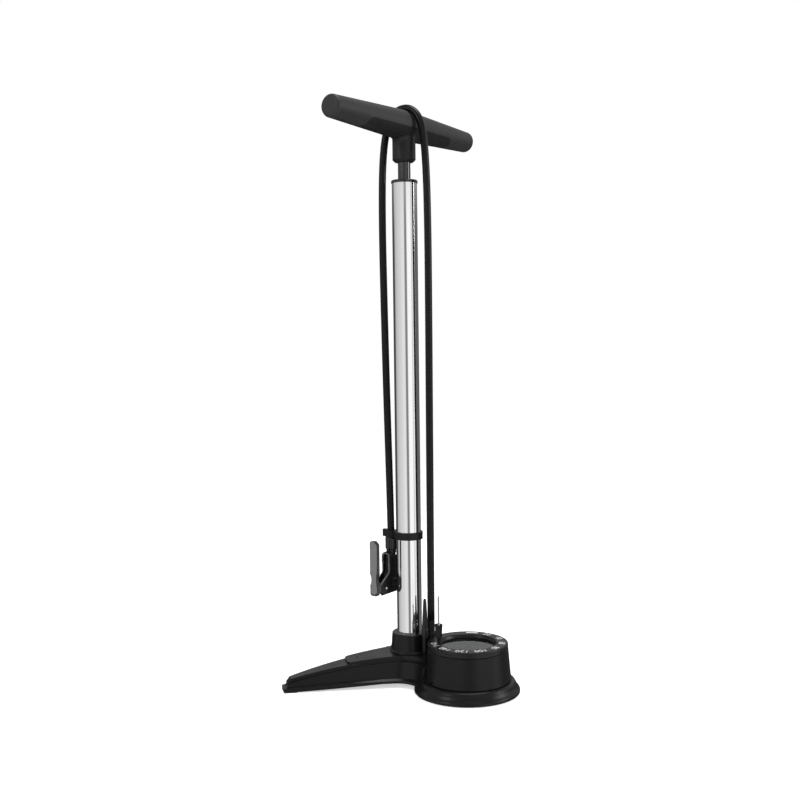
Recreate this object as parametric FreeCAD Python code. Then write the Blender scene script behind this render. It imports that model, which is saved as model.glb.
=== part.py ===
import FreeCAD, Part
import math
import os

# A floor pump for bicycle tyres, in millimetres.
# Origin: on the floor, under the axis of the barrel. +Z is up, -Y is the side of the pressure gauge,
# and the handle bar runs along X.

V = FreeCAD.Vector
UP = V(0, 0, 1)

# Barrel, rod and piston
BARREL_R = 15.0
BARREL_BORE_R = 13.5
BARREL_BOTTOM = 40.2
BARREL_TOP = 596.0
CAP_R = 15.7
CAP_THICK = 3.5
ROD_R = 7.47
ROD_BORE_R = 5.9
ROD_FIT = 0.05
PISTON_TOP = 80.0

# Handle
HANDLE_Z = 663.6
HANDLE_HALF = 143.0
HANDLE_MID_R = 17.8
HANDLE_END_R = 12.7
HANDLE_EDGE = 3.4
CORE_DROP = 4.5
NECK_R = 13.7
NECK_BOTTOM = 620.7
CORE_HALF = 88.0
SEAM = 0.3

# Base: two legs behind, a round foot under the gauge in front
LEFT_ANGLE = 48.0
RIGHT_ANGLE = 52.0
LEG_TIP = 153.5
LEG_HALF = 7.6
ARCH_Z = 5.2
LEG_TOP_Z = 34.0
LIP_HEIGHT = 5.0
LIP_OUT = 2.0
PLATE_THICK = 2.5
SHELL = 3.0
SOCKET_R = 22.3
SOCKET_TOP_R = 20.4
SOCKET_TOP = 59.5
SKIRT_Y = -79.8
SKIRT_R = 61.9
DECK_Z = 19.0

# Gauge
GAUGE_Y = -81.2
RIM_Z = 14.4
DRUM_R = 50.4
DRUM_WALL_R = 48.0
DRUM_TOP_R = 47.4
DRUM_TOP = 51.0
BEZEL_R = 47.05
BEZEL_TOP = 58.3
APERTURE_R = 33.6
DIAL_Z = 47.0
POINTER_LEN = 27.0
POINTER_REST = 26.0
SECTOR_X = 13.0
SECTOR_R = 11.2
SECTOR_TEETH = 84
PINION_R = 1.74
PINION_TEETH = 12

# Hose and pump head
HOSE_R = 4.35
HEAD_Y = 25.5
HEAD_HALF = 6.2
HOOD_Z = 149.6
PIVOT_X = -20.0
PIVOT_Z = 113.4
VALVE_Z = 119.0
VALVE_R = 4.1
CLIP_Z = 172.8
CLIP_H = 8.6

# Stored accessories
NEEDLE_AT = (-28.5, -59.2)
NOZZLE_AT = (-5.2, -25.4)
NOZZLE_POST_R = 4.2
NOZZLE_BOTTOM = 58.0
NEEDLE_CUP = 24.0

# The centre line of the hose, from the fitting on the base, over the handle, to the pump head.
HOSE_ROUTE = [
    V(4.5, -28.0, 76.0),
    V(4.5, -28.2, 190.0),
    V(4.1, -28.9, 315.0),
    V(3.5, -29.9, 440.0),
    V(2.9, -30.4, 550.0),
    V(2.4, -28.9, 625.0),
    V(2.2, -23.8, 666.5),
    V(2.0, -10.4, 683.8),
    V(1.6, 10.2, 684.0),
    V(1.2, 24.4, 667.6),
    V(0.9, 31.6, 628.0),
    V(0.7, 33.2, 555.0),
    V(0.5, 31.6, 445.0),
    V(0.3, 29.2, 330.0),
    V(0.1, 26.6, 235.0),
    V(0.0, 25.5, 175.0),
]


def ring(r_out, r_in, z0, z1, x=0.0, y=0.0):
    """A tube standing on z0, or a solid cylinder where r_in is 0."""
    body = Part.makeCylinder(r_out, z1 - z0, V(x, y, z0))
    if r_in > 0:
        body = body.cut(Part.makeCylinder(r_in, z1 - z0 + 2, V(x, y, z0 - 1)))
    return body


def rod_between(a, b, radius):
    """A cylinder from point a to point b."""
    return Part.makeCylinder(radius, (b - a).Length, a, b - a)


def turned(points, x=0.0, y=0.0):
    """The closed (radius, height) outline turned about a vertical axis at x, y."""
    corners = [V(r, 0, z) for r, z in points]
    face = Part.Face(Part.makePolygon(corners + [corners[0]]))
    body = face.revolve(V(0, 0, 0), UP, 360)
    body.translate(V(x, y, 0))
    return body


def turned_x(points):
    """The closed (x, radius) outline turned about the handle's axis."""
    corners = [V(x, 0, r) for x, r in points]
    face = Part.Face(Part.makePolygon(corners + [corners[0]]))
    body = face.revolve(V(0, 0, 0), V(1, 0, 0), 360)
    body.translate(V(0, 0, HANDLE_Z))
    return body


def slab_xz(points, y0, y1):
    """The closed (x, z) outline, extruded from y0 to y1."""
    corners = [V(x, y0, z) for x, z in points]
    return Part.Face(Part.makePolygon(corners + [corners[0]])).extrude(V(0, y1 - y0, 0))


def softened(body, radius, pick):
    """The body with those edges rounded for which pick(edge) is true."""
    edges = [e for e in body.Edges if pick(e)]
    return body.makeFillet(radius, edges) if edges else body


def level(z, radius=None, at=(0.0, 0.0)):
    """Picks circular edges at a height, and of one radius when that is given."""

    def pick(edge):
        curve = edge.Curve
        if not isinstance(curve, Part.Circle):
            return False
        near = abs(curve.Center.z - z) < 0.01
        middle = math.hypot(curve.Center.x - at[0], curve.Center.y - at[1]) < 0.01
        return near and middle and (radius is None or abs(curve.Radius - radius) < 0.01)

    return pick


def mirrored(body):
    return body.mirror(V(0, 0, 0), V(1, 0, 0))


# ---------------------------------------------------------------- base


def arc_round(centre, start, end):
    """The shorter arc about centre from start to end."""
    radius = (start - centre).Length
    middle = (start + end) * 0.5 - centre
    return Part.Arc(start, centre + middle * (radius / middle.Length), end).toShape()


def path_edges(stops):
    """Straight edges and arcs through stops: a stop given as (middle, end) makes an arc through middle."""
    edges = []
    at = stops[0]
    for stop in stops[1:]:
        if isinstance(stop, tuple):
            edges.append(Part.Arc(at, stop[0], stop[1]).toShape())
            at = stop[1]
        else:
            edges.append(Part.LineSegment(at, stop).toShape())
            at = stop
    return edges


class Leg:
    """A leg of the base as it stands on the left, at an angle from +Y; the right one is mirrored."""

    def __init__(self, angle):
        turn = math.radians(angle)
        self.angle = angle
        self.out = V(-math.sin(turn), math.cos(turn), 0)
        self.side = V(-self.out.y, self.out.x, 0)

    def place(self, s, n, z=0.0):
        """The point s out along the leg, n to its front side, at height z."""
        return self.out * s + self.side * n + UP * z

    def laid(self, body):
        """The body, drawn along +X, laid along the leg."""
        body.rotate(V(0, 0, 0), UP, 90 + self.angle)
        return body

    def outline(self, tip, half, widen, foot_r, front_r=26.0, back_r=16.0, z=0.0):
        """The plan of this half of the base at height z.

        The leg is 2 * half wide at its tip and widens by widen per millimetre towards the root. Its front
        edge runs through an arc of front_r into the circle of the gauge's foot, and its back edge through
        an arc of back_r into the other leg.
        """
        steep = math.sqrt(1 + widen * widen)
        out = (self.out * widen + self.side) * (1 / steep)
        back_out = (self.out * widen - self.side) * (1 / steep)
        foot = V(0, SKIRT_Y, 0)
        start = self.place(tip, half) + out * front_r
        run = (self.out * -1 + self.side * widen) * (1 / steep)
        reach = foot_r + front_r
        to_foot = start - foot
        b = to_foot.dot(run)
        c = to_foot.dot(to_foot) - reach * reach
        centre = start + run * (-b - math.sqrt(b * b - c))
        on_leg = centre - out * front_r
        on_foot = foot + (centre - foot) * (foot_r / reach)
        corner = self.place(tip, -half)
        back_centre = V(0, (corner.dot(back_out) + back_r) / back_out.y, 0)
        on_back = back_centre - back_out * back_r
        middle = back_centre - V(0, back_r, 0)
        lift = UP * z
        edges = [arc_round(back_centre + lift, middle + lift, on_back + lift)]
        edges += path_edges([on_back + lift, corner + lift, self.place(tip, half) + lift, on_leg + lift])
        edges.append(arc_round(centre + lift, on_leg + lift, on_foot + lift))
        edges += path_edges([on_foot + lift, foot + lift, middle + lift])
        return Part.Wire(edges)

    def block(self, low, high, z0, z1):
        """A solid between two plans of this half: low at z0 and high at z1."""
        return Part.makeLoft([self.outline(z=z0, **low), self.outline(z=z1, **high)], True, True)

    def curtain(self, stops):
        """A solid 300 mm wide across the leg, whose side is the closed outline through stops."""
        face = self.laid(Part.Face(Part.Wire(path_edges(stops + [stops[0]]))))
        face.translate(self.side * -150)
        return face.extrude(self.side * 300)

    def crown(self, drop, tip=LEG_TIP):
        """Everything under the base's top surface, lowered by drop."""
        top = LEG_TOP_Z - drop
        return self.curtain([V(-95, 0, top), V(24, 0, top), (V(84, 0, 27.8 - drop), V(tip - 7, 0, 15.2 - drop)),
                             V(tip, 0, 6.0 - 0.5 * drop), V(tip, 0, -1), V(-95, 0, -1)])

    def arch(self):
        """The space under the leg: it stands on the floor at the tip and rises towards the root."""
        return self.curtain([V(-95, 0, -1), V(140, 0, -1), V(140, 0, 0.6), (V(95, 0, 2.4), V(40, 0, ARCH_Z)),
                             V(-95, 0, ARCH_Z)])

    def above_lip(self):
        """Everything above the lip, which is LIP_HEIGHT tall over the arch."""
        end = V(160, 0, LIP_HEIGHT - 0.4)
        rise = (V(95, 0, 2.4 + LIP_HEIGHT), V(40, 0, ARCH_Z + LIP_HEIGHT))
        return self.curtain([V(-95, 0, 12), V(160, 0, 12), end, rise, V(-95, 0, ARCH_Z + LIP_HEIGHT)])

    def outer(self):
        """The leg and half the bridge to the gauge, in two tiers above a lip."""
        lower = dict(tip=LEG_TIP - 1.0, half=LEG_HALF, widen=0.122, foot_r=56.0)
        waist = dict(tip=LEG_TIP - 2.0, half=LEG_HALF - 1.0, widen=0.12, foot_r=50.5)
        tier = dict(tip=LEG_TIP - 3.0, half=LEG_HALF - 2.4, widen=0.12, foot_r=49.0)
        lip = dict(tip=LEG_TIP + 1.5, half=LEG_HALF + LIP_OUT, widen=0.13, foot_r=58.0)
        wall = self.block(lower, waist, 0.0, 40.0).common(self.crown(4.5))
        top = self.block(tier, tier, 4.0, 40.0).common(self.crown(0.0))
        rim = self.block(lip, lip, 0.0, LIP_HEIGHT + 3.0)
        rim = rim.fuse(self.block(lip, dict(lower, tip=LEG_TIP), LIP_HEIGHT + 3.0, LIP_HEIGHT + 5.2))
        rim = rim.common(self.crown(4.5, LEG_TIP + 1.5).fuse(self.crown(20.0, LEG_TIP + 1.5)))
        return wall.fuse(top).fuse(rim.cut(self.above_lip())).cut(self.arch())

    def inner(self):
        """The hollow inside the leg and half the bridge, open below."""
        plan = dict(tip=LEG_TIP - 20.0, half=5.6, widen=0.118, foot_r=46.5, front_r=29.0, back_r=19.0)
        hollow = self.block(plan, dict(plan, half=4.6, foot_r=46.0), -1.0, 40.0)
        return hollow.common(self.crown(SHELL + 4.5, LEG_TIP - 20))

    def ribs(self):
        """Cross ribs and one lengthwise rib that stiffen the leg from inside."""
        ribs = [self.laid(Part.makeBox(2.2, 80, 34, V(s - 1.1, -40, 6.5))) for s in (48.0, 78.0, 108.0)]
        return ribs[0].fuse(ribs[1:] + [self.laid(Part.makeBox(110, 2.2, 34, V(26, -1.1, 6.5)))])

    def plate(self):
        """This half of the raised cover, sunk 1.5 mm into the leg, with a rounded end."""
        plan = dict(tip=79.0, half=13.6, widen=0.135, foot_r=48.0, front_r=30.0, back_r=14.0)
        block = self.block(plan, plan, 20.0, 45.0)
        tips = [e for e in block.Edges if e.BoundBox.ZLength > 24 and e.CenterOfMass.dot(self.out) > 70]
        block = block.makeFillet(7.0, tips)
        return block.common(self.crown(-PLATE_THICK)).cut(self.crown(1.5))

    def pad(self, gap=0.0):
        """A rubber pad under the tip."""
        pad = Part.makeBox(16 + 2 * gap, 8.4 + 2 * gap, 3.5 + gap, V(133 - gap, -4.2 - gap, 0))
        return self.laid(softened(pad, 3.0, lambda e: e.BoundBox.ZLength > 3))


LEFT = Leg(LEFT_ANGLE)
RIGHT = Leg(RIGHT_ANGLE)


def both(make):
    """What make returns for the left leg, joined with the mirror image of what it returns for the right."""
    return make(LEFT).fuse(mirrored(make(RIGHT)))


SKIRT = [
    (SKIRT_R - 0.6, 0.5), (SKIRT_R, 1.2), (SKIRT_R, 3.6), (SKIRT_R - 0.5, 4.4), (59.6, 6.6), (57.8, 9.4),
    (57.0, 11.6), (55.6, 13.5), (53.4, RIM_Z + 0.2), (DRUM_R - 0.4, RIM_Z + 0.5), (DRUM_R - 0.4, DECK_Z + 0.2),
]


def base_shell():
    """The moulded base: both legs, the socket for the barrel and the foot under the gauge."""
    skirt = turned([(0, 0.5)] + SKIRT + [(0, DECK_Z + 0.2)], 0, SKIRT_Y)
    hollow = turned([(0, 0), (54.5, 0), (54.5, 7), (46, RIM_Z - SHELL), (44.5, DECK_Z - SHELL),
                     (0, DECK_Z - SHELL)], 0, SKIRT_Y)
    socket = turned([(0, 20), (SOCKET_R + 2, 20), (SOCKET_R + 2, 37.5), (SOCKET_R + 0.4, 39.6),
                     (SOCKET_R, 42.5), (SOCKET_TOP_R + 0.7, SOCKET_TOP - 0.6), (SOCKET_TOP_R, SOCKET_TOP),
                     (0, SOCKET_TOP)])
    body = skirt.fuse([both(Leg.outer), socket]).removeSplitter()
    inner = both(Leg.inner).cut(ring(19.0, 0, 24.0, 60.0)).cut(both(Leg.ribs)).cut(foot_bosses())
    body = body.cut(inner).cut(hollow.cut(deck_bosses()))
    body = body.cut(drum_space()).cut(both(Leg.plate).cut(ring(SOCKET_R + 2.0, 0, 20.0, 60.0)))
    body = body.cut(ring(BARREL_R + 0.05, 0, 40.0, SOCKET_TOP + 1))
    body = body.cut(ring(5.0, 0, 20.0, 41.0)).cut(ring(8.0, 0, 10.0, 30.0, 0, GAUGE_Y))
    body = body.cut(ring(3.1, 0, 5.0, 45.0, HOSE_ROUTE[0].x, HOSE_ROUTE[0].y))
    body = body.cut(ring(4.9, 0, 36.0, 45.0, HOSE_ROUTE[0].x, HOSE_ROUTE[0].y))
    body = body.cut(ring(NOZZLE_POST_R + 0.1, 0, 32.5, 45.0, *NOZZLE_AT)).cut(manifold_space())
    for x, y in deck_screw_places():
        body = body.cut(ring(1.75, 0, 5.0, 25.0, x, y))
    body = body.cut(both(lambda leg: leg.pad(0.1)))
    for x, y in plate_screw_places():
        body = body.cut(ring(1.7, 0, 13.9, 40.0, x, y)).cut(ring(3.1, 0, 0.0, 14.0, x, y))
    return body.cut(skirt_ring_solid(0.05)).removeSplitter()


def drum_space():
    """Room for the gauge drum above the deck and for its wall round the deck, with a narrow seam."""
    return turned([(0, DECK_Z), (DRUM_WALL_R - 0.4, DECK_Z), (DRUM_WALL_R - 0.4, RIM_Z), (DRUM_R + 0.35, RIM_Z),
                   (DRUM_TOP_R + 0.6, 62), (0, 62)], 0, GAUGE_Y)


def foot_bosses():
    """The screw bosses inside the legs."""
    bosses = [ring(3.6, 0, 8.0, 36.0, x, y) for x, y in plate_screw_places()]
    return bosses[0].fuse(bosses[1:])


def deck_screw_places():
    spots = (30.0, 150.0, 270.0)
    return [(38 * math.cos(math.radians(a)), GAUGE_Y + 38 * math.sin(math.radians(a))) for a in spots]


def deck_bosses():
    """The screw bosses under the deck."""
    bosses = [ring(4.0, 0, 9.0, DECK_Z, x, y) for x, y in deck_screw_places()]
    return bosses[0].fuse(bosses[1:])


def plate_screw_places():
    return [(side * leg.place(s, 0).x, leg.place(s, 0).y) for s in (66, 34) for side, leg in ((1, LEFT), (-1, RIGHT))]


def base_cover():
    """The raised cover on the legs, round the socket."""
    body = both(Leg.plate).removeSplitter()
    body = body.cut(ring(SOCKET_R + 2.0, 0, 20.0, 60.0)).cut(drum_space())
    body = body.cut(ring(3.1, 0, 20.0, 60.0, HOSE_ROUTE[0].x, HOSE_ROUTE[0].y))
    body = body.cut(ring(NOZZLE_POST_R + 0.1, 0, 20.0, 60.0, *NOZZLE_AT))
    for x, y in plate_screw_places():
        body = body.cut(ring(1.3, 0, 20.0, 34.0, x, y))
    return max(body.Solids, key=lambda s: s.Volume)


def cover_screws():
    """Four screws that hold the cover from below."""
    places = plate_screw_places()
    return Part.makeCompound([ring(1.25, 0, 14.0, 31.5, x, y).fuse(ring(2.9, 0, 12.0, 14.0, x, y)) for x, y in places])


def skirt_ring_solid(gap):
    """The rubber ring let into the underside of the gauge's foot."""
    return ring(60.0 + gap, 55.6 - gap, 0.0, 3.0 + gap, 0, SKIRT_Y)


def skirt_foot_ring():
    return skirt_ring_solid(0.0)


def foot_left():
    return LEFT.pad()


def foot_right():
    return mirrored(RIGHT.pad())


def manifold_space():
    """Room for the manifold under the base's deck."""
    bar = Part.makeBox(13, 84, 17.5, V(-6.5, -80.5, -1))
    return bar.fuse(ring(6.2, 0, -1, 19.0, HOSE_ROUTE[0].x, HOSE_ROUTE[0].y))


def air_manifold():
    """The cast block that joins barrel, gauge and hose under the base's deck.

    Its duct runs from the barrel's foot along Y to the gauge, and up to the hose.
    """
    block = Part.makeBox(12, 76, 9, V(-6, -78, 6))
    riser = ring(4.9, 0, 6, 40.0)
    boss = ring(5.6, 0, 6, 18.0, HOSE_ROUTE[0].x, HOSE_ROUTE[0].y)
    stem = ring(6.0, 0, 6, 22.0, 0, GAUGE_Y)
    body = block.fuse([riser, boss, stem])
    duct = rod_between(V(0, -81, 10.5), V(0, 1.5, 10.5), 1.5)
    body = body.cut(duct).cut(ring(1.5, 0, 10.0, 41.0)).cut(ring(1.5, 0, 10.0, 23.0, 0, GAUGE_Y))
    return body.cut(ring(1.5, 0, 10.0, 19.0, HOSE_ROUTE[0].x, HOSE_ROUTE[0].y))


def foot_cover():
    """The plate that closes the underside of the gauge's foot."""
    body = ring(54.2, 0, 1.6, 4.0, 0, SKIRT_Y).cut(skirt_ring_solid(0.2))
    tongue = Part.makeBox(20, 30, 10, V(-10, SKIRT_Y + 44, 0))
    body = body.cut(tongue)
    for x, y in deck_screw_places():
        body = body.cut(ring(3.6, 0, 0.0, 5.0, x, y))
    return body


def drum_screws():
    """Three screws that hold the gauge drum down on the deck."""
    screws = []
    for x, y in deck_screw_places():
        screws.append(ring(1.7, 0, 9.0, 26.0, x, y).fuse(ring(3.4, 0, 6.6, 9.0, x, y)))
    return Part.makeCompound(screws)


# ---------------------------------------------------------------- barrel and check valve


def barrel_tube():
    return ring(BARREL_R, BARREL_BORE_R, BARREL_BOTTOM, BARREL_TOP)


def foot_plug():
    """Closes the barrel's foot and houses the check valve."""
    body = turned([(0, BARREL_BOTTOM), (13.4, BARREL_BOTTOM), (13.4, 45), (12.2, 45), (12.2, 47.4), (13.4, 47.4),
                   (13.4, 55), (12.6, 56), (0, 56)])
    return body.cut(ring(2.5, 0, 49.0, 57.0)).cut(ring(5.2, 0, 42.0, 50.0)).cut(ring(1.8, 0, 40.0, 43.0))


def foot_oring():
    return Part.makeTorus(12.8, 0.57, V(0, 0, 46.2))


def valve_seat():
    return ring(5.15, 2.6, 48.8, 50.0)


def valve_disc():
    """The disc that the spring holds against the seat, with a guide stem."""
    return ring(4.3, 0, 47.3, 48.75).fuse(ring(1.6, 0, 45.3, 47.3))


def valve_spring():
    helix = Part.makeHelix(1.5, 4.2, 2.9)
    helix.translate(V(0, 0, 42.5))
    wire = Part.Wire(helix.Edges)
    section = Part.Wire(Part.makeCircle(0.32, V(2.9, 0, 42.5), V(0, 1, 0)))
    return wire.makePipeShell([section], True, True)


def barrel_cap():
    body = turned([(9.6, BARREL_TOP - 21), (13.4, BARREL_TOP - 21), (13.4, BARREL_TOP), (CAP_R, BARREL_TOP),
                   (CAP_R, BARREL_TOP + CAP_THICK - 0.8), (CAP_R - 0.8, BARREL_TOP + CAP_THICK),
                   (9.6, BARREL_TOP + CAP_THICK)])
    return body


def cap_bush():
    return ring(9.55, ROD_R + ROD_FIT, BARREL_TOP - 21, BARREL_TOP - 4)


def rod_wiper():
    return ring(9.55, ROD_R + ROD_FIT, BARREL_TOP - 3.8, BARREL_TOP + CAP_THICK - 0.4)


def cap_bumper():
    return ring(13.3, 8.4, BARREL_TOP - 25, BARREL_TOP - 21)


# ---------------------------------------------------------------- piston, rod and handle


def piston_head():
    body = turned([(0, 63), (11.8, 63), (11.8, 69.2), (13.2, 69.2), (13.2, PISTON_TOP - 1),
                   (12.2, PISTON_TOP), (0, PISTON_TOP)])
    return body.cut(ring(ROD_R + ROD_FIT, 0, 70.0, PISTON_TOP + 1)).cut(ring(2.5, 0, 62.0, 71.0))


def piston_cup():
    """The rubber cup that seals on the down stroke."""
    return turned([(2.6, 61.2), (11.6, 61.2), (13.45, 62.4), (13.45, 69), (11.9, 69), (11.9, 62.9), (2.6, 62.9)])


def piston_washer():
    return ring(9.0, 2.6, 60.0, 61.2)


def piston_bolt():
    head = hexagon(5.0, 57.4, 60.0)
    return head.fuse(ring(2.45, 0, 59.5, 69.5))


def hexagon(radius, z0, z1):
    corners = [V(radius * math.cos(math.radians(60 * k)), radius * math.sin(math.radians(60 * k)), z0)
               for k in range(6)]
    return Part.Face(Part.makePolygon(corners + [corners[0]])).extrude(UP * (z1 - z0))


def piston_rod():
    body = ring(ROD_R, ROD_BORE_R, 70.3, 650.0)
    return body


def bar_solid():
    """The round bar of the handle: thickest in the middle, with rounded edges at its flat ends."""
    bar = turned_x([(-HANDLE_HALF, 0), (-HANDLE_HALF, HANDLE_END_R), (0, HANDLE_MID_R), (HANDLE_HALF, HANDLE_END_R),
                    (HANDLE_HALF, 0)])
    return softened(bar, HANDLE_EDGE, lambda e: abs(e.BoundBox.Center.x) > HANDLE_HALF - 0.1 and
                    e.BoundBox.YLength > HANDLE_END_R)


def core_region(gap):
    """The lower middle of the bar, with rounded upper corners."""
    half = CORE_HALF - gap
    top = HANDLE_Z - CORE_DROP - gap
    box = Part.makeBox(2 * half, 60, 40, V(-half, -30, top - 40))
    return softened(box, 9.0, lambda e: e.BoundBox.YLength > 50 and e.CenterOfMass.z > top - 5)


def handle_core():
    """The T of the handle: the neck that holds the rod and the lower half of the bar."""
    half_bar = bar_solid().common(core_region(SEAM))
    neck = ring(NECK_R, 0, NECK_BOTTOM, HANDLE_Z - CORE_DROP - 1)
    body = half_bar.fuse(neck).removeSplitter()
    joint = [e for e in body.Edges
             if HANDLE_Z - 19 < e.CenterOfMass.z < HANDLE_Z - 8 and e.BoundBox.XLength < 2 * NECK_R + 0.1
             and e.BoundBox.YLength > 20 and not isinstance(e.Curve, Part.Circle)]
    if joint:
        body = body.makeFillet(6.5, joint)
    body = softened_bottom(body)
    body = body.cut(ring(ROD_R + ROD_FIT, 0, NECK_BOTTOM - 1, 650.0)).cut(ring(3.0, 0, 640.0, 662.0))
    for x in (-60.0, 60.0):
        body = body.cut(ring(1.6, 0, 640.0, 665.0, x)).cut(ring(3.2, 0, 640.0, 652.7, x))
    return body


def softened_bottom(body):
    edges = [e for e in body.Edges if level(NECK_BOTTOM, NECK_R)(e)]
    return body.makeChamfer(2.6, edges)


def handle_grip():
    """The upper shell of the bar and both its ends, with a saddle for the hose on top."""
    body = bar_solid().cut(core_region(0.0))
    saddle = turned_x([(-9.5, 20), (-6.8, 15.4), (6.8, 15.4), (9.5, 20)])
    body = body.cut(saddle)
    for x in (-60.0, 60.0):
        body = body.cut(ring(1.4, 0, 655.0, 672.0, x))
    return body.cut(ring(3.2, 0, 655.0, 664.0))


def grip_screws():
    screws = []
    for x in (-60.0, 60.0):
        screws.append(ring(1.35, 0, 652.5, 671.0, x).fuse(ring(2.9, 0, 650.2, 652.6, x)))
    return Part.makeCompound(screws)


def rod_screw():
    """Holds the handle on the plug in the rod's top."""
    return ring(2.9, 0, 641.0, 661.0).fuse(ring(5.8, 0, 636.0, 641.0))


# ---------------------------------------------------------------- gauge


def gauge_housing():
    foot = RIM_Z + 0.4
    outer = [(0, DECK_Z), (DRUM_WALL_R, DECK_Z), (DRUM_WALL_R, foot), (DRUM_R - 0.5, foot), (DRUM_R, foot + 0.6),
             (DRUM_TOP_R, DRUM_TOP - 0.4),
             (DRUM_TOP_R - 0.4, DRUM_TOP), (36.2, DRUM_TOP), (36.2, DIAL_Z), (32.5, DIAL_Z), (32.5, 45.0),
             (44.0, 45.0), (46.5, 22.0), (0, 22.0)]
    body = turned(outer, 0, GAUGE_Y).cut(ring(6.5, 0, 18.0, 23.0, 0, GAUGE_Y)).cut(manifold_space())
    for x, y in deck_screw_places():
        body = body.fuse(ring(4.2, 0, 21.5, 27.0, x, y)).cut(ring(1.72, 0, 18.0, 26.2, x, y))
    return body


def gauge_bezel():
    """The flat ring with the figures, over a sloping inner wall."""
    top = BEZEL_TOP
    body = turned([(36.2, DRUM_TOP + SEAM), (BEZEL_R - 0.3, DRUM_TOP + SEAM), (BEZEL_R + 0.3, DRUM_TOP + 0.9),
                   (BEZEL_R, top - 1.2), (BEZEL_R - 0.4, top - 0.35), (BEZEL_R - 1.3, top),
                   (APERTURE_R + 0.7, top), (APERTURE_R, top - 0.5), (APERTURE_R - 1.6, top - 4.2),
                   (36.2, top - 4.2)], 0, GAUGE_Y)
    return body


def gauge_lens():
    return ring(36.0, 0, BEZEL_TOP - 6.4, BEZEL_TOP - 4.4, 0, GAUGE_Y)


def lens_gasket():
    return ring(36.0, 33.2, DRUM_TOP - 0.1, BEZEL_TOP - 6.4, 0, GAUGE_Y)


def dial_spacer():
    """The dark ring between the dial and the glass."""
    return ring(36.0, 33.4, DIAL_Z + 1.0, DRUM_TOP - 0.1, 0, GAUGE_Y)


def gauge_dial():
    return ring(36.0, 1.4, DIAL_Z, DIAL_Z + 1.0, 0, GAUGE_Y)


def gauge_stem():
    """The brass block that the pressure tube is soldered to."""
    base = ring(5.9, 1.5, 22.1, 27.0, 0, GAUGE_Y)
    arm = Part.makeBox(10, 21, 6, V(-5, GAUGE_Y, 26))
    post = Part.makeBox(9, 9, 9, V(-4.5, GAUGE_Y + 17, 26))
    return base.fuse([arm, post]).removeSplitter()


def bourdon_tube():
    """The curved flat tube that straightens under pressure."""
    ring_shape = Part.makeTorus(21.5, 1.9, V(0, GAUGE_Y, 31.0), UP, 0, 360, 250)
    ring_shape.rotate(V(0, GAUGE_Y, 31.0), UP, 104)
    return ring_shape


def movement_plate():
    body = ring(11.0, 0, 36.0, 37.0, 0, GAUGE_Y).fuse(ring(3.5, 0, 36.0, 37.0, SECTOR_X, GAUGE_Y))
    body = body.fuse(Part.makeBox(8, 7, 1, V(6, GAUGE_Y - 3.5, 36.0)))
    body = body.cut(ring(0.9, 0, 35.0, 38.0, 0, GAUGE_Y))
    body = body.cut(ring(0.9, 0, 35.0, 38.0, SECTOR_X, GAUGE_Y))
    for x in (-8.0, 8.0):
        body = body.fuse(ring(1.6, 0, 32.0, 36.5, x, GAUGE_Y - 2.0))
        body = body.fuse(ring(1.6, 0, 32.0, 36.5, x * 0.4, GAUGE_Y + 8.0))
    return body.removeSplitter()


def movement_posts():
    """Two pillars that carry the plate on the drum's floor."""
    spots = [(-8.0, GAUGE_Y - 2.0), (8.0, GAUGE_Y - 2.0)]
    return Part.makeCompound([ring(1.6, 0, 22.0, 32.0, x, y) for x, y in spots])


def toothed(radius, depth, teeth, z0, z1, first=0.0, last=360.0):
    """A flat gear, or a sector of one from first to last degrees, about the Z axis."""
    corners = []
    count = round(teeth * (last - first) / 360)
    step = 360.0 / teeth
    for k in range(count):
        a = first + k * step
        for part, r in ((0.0, radius - depth), (0.3, radius), (0.55, radius), (0.85, radius - depth)):
            turn = math.radians(a + part * step)
            corners.append(V(r * math.cos(turn), r * math.sin(turn), z0))
    if last - first < 359:
        corners.append(V(0, 0, z0))
    return Part.Face(Part.makePolygon(corners + [corners[0]])).extrude(UP * (z1 - z0))


def sector_gear():
    """The sector that the pressure tube pushes: it turns about a shaft beside the pointer's."""
    body = toothed(SECTOR_R, 0.35, SECTOR_TEETH, 38.0, 39.2, 132.0, 192.0)
    body = body.fuse(ring(1.6, 0, 38.0, 39.2)).fuse(ring(0.8, 0, 36.2, 41.0))
    arm = Part.makeBox(7.0, 1.6, 1.0, V(0, -0.8, 38.1))
    arm.rotate(V(0, 0, 0), UP, 60)
    body = body.fuse(arm).removeSplitter()
    body.translate(V(SECTOR_X, GAUGE_Y, 0))
    return body


def pointer_arbor():
    """The pinion and the staff that carries the pointer."""
    body = toothed(PINION_R, 0.35, PINION_TEETH, 37.4, 39.6).fuse(ring(0.8, 0, 36.2, DIAL_Z + 2.6))
    body = body.removeSplitter()
    body.translate(V(0, GAUGE_Y, 0))
    return body


def gauge_pointer():
    z0 = DIAL_Z + 1.9
    angle = math.radians(POINTER_REST)
    blade = Part.Face(Part.makePolygon([V(-8, -1.2, z0), V(0, -1.5, z0), V(POINTER_LEN, -0.25, z0),
                                        V(POINTER_LEN, 0.25, z0), V(0, 1.5, z0), V(-8, 1.2, z0), V(-8, -1.2, z0)]))
    body = blade.extrude(UP * 0.6).fuse(ring(3.2, 0, z0 - 0.2, z0 + 1.1)).removeSplitter()
    body = body.cut(ring(0.82, 0, z0 - 1, z0 + 0.7))
    body.rotate(V(0, 0, 0), UP, math.degrees(angle))
    body.translate(V(0, GAUGE_Y, 0))
    return body


# ---------------------------------------------------------------- hose


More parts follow.
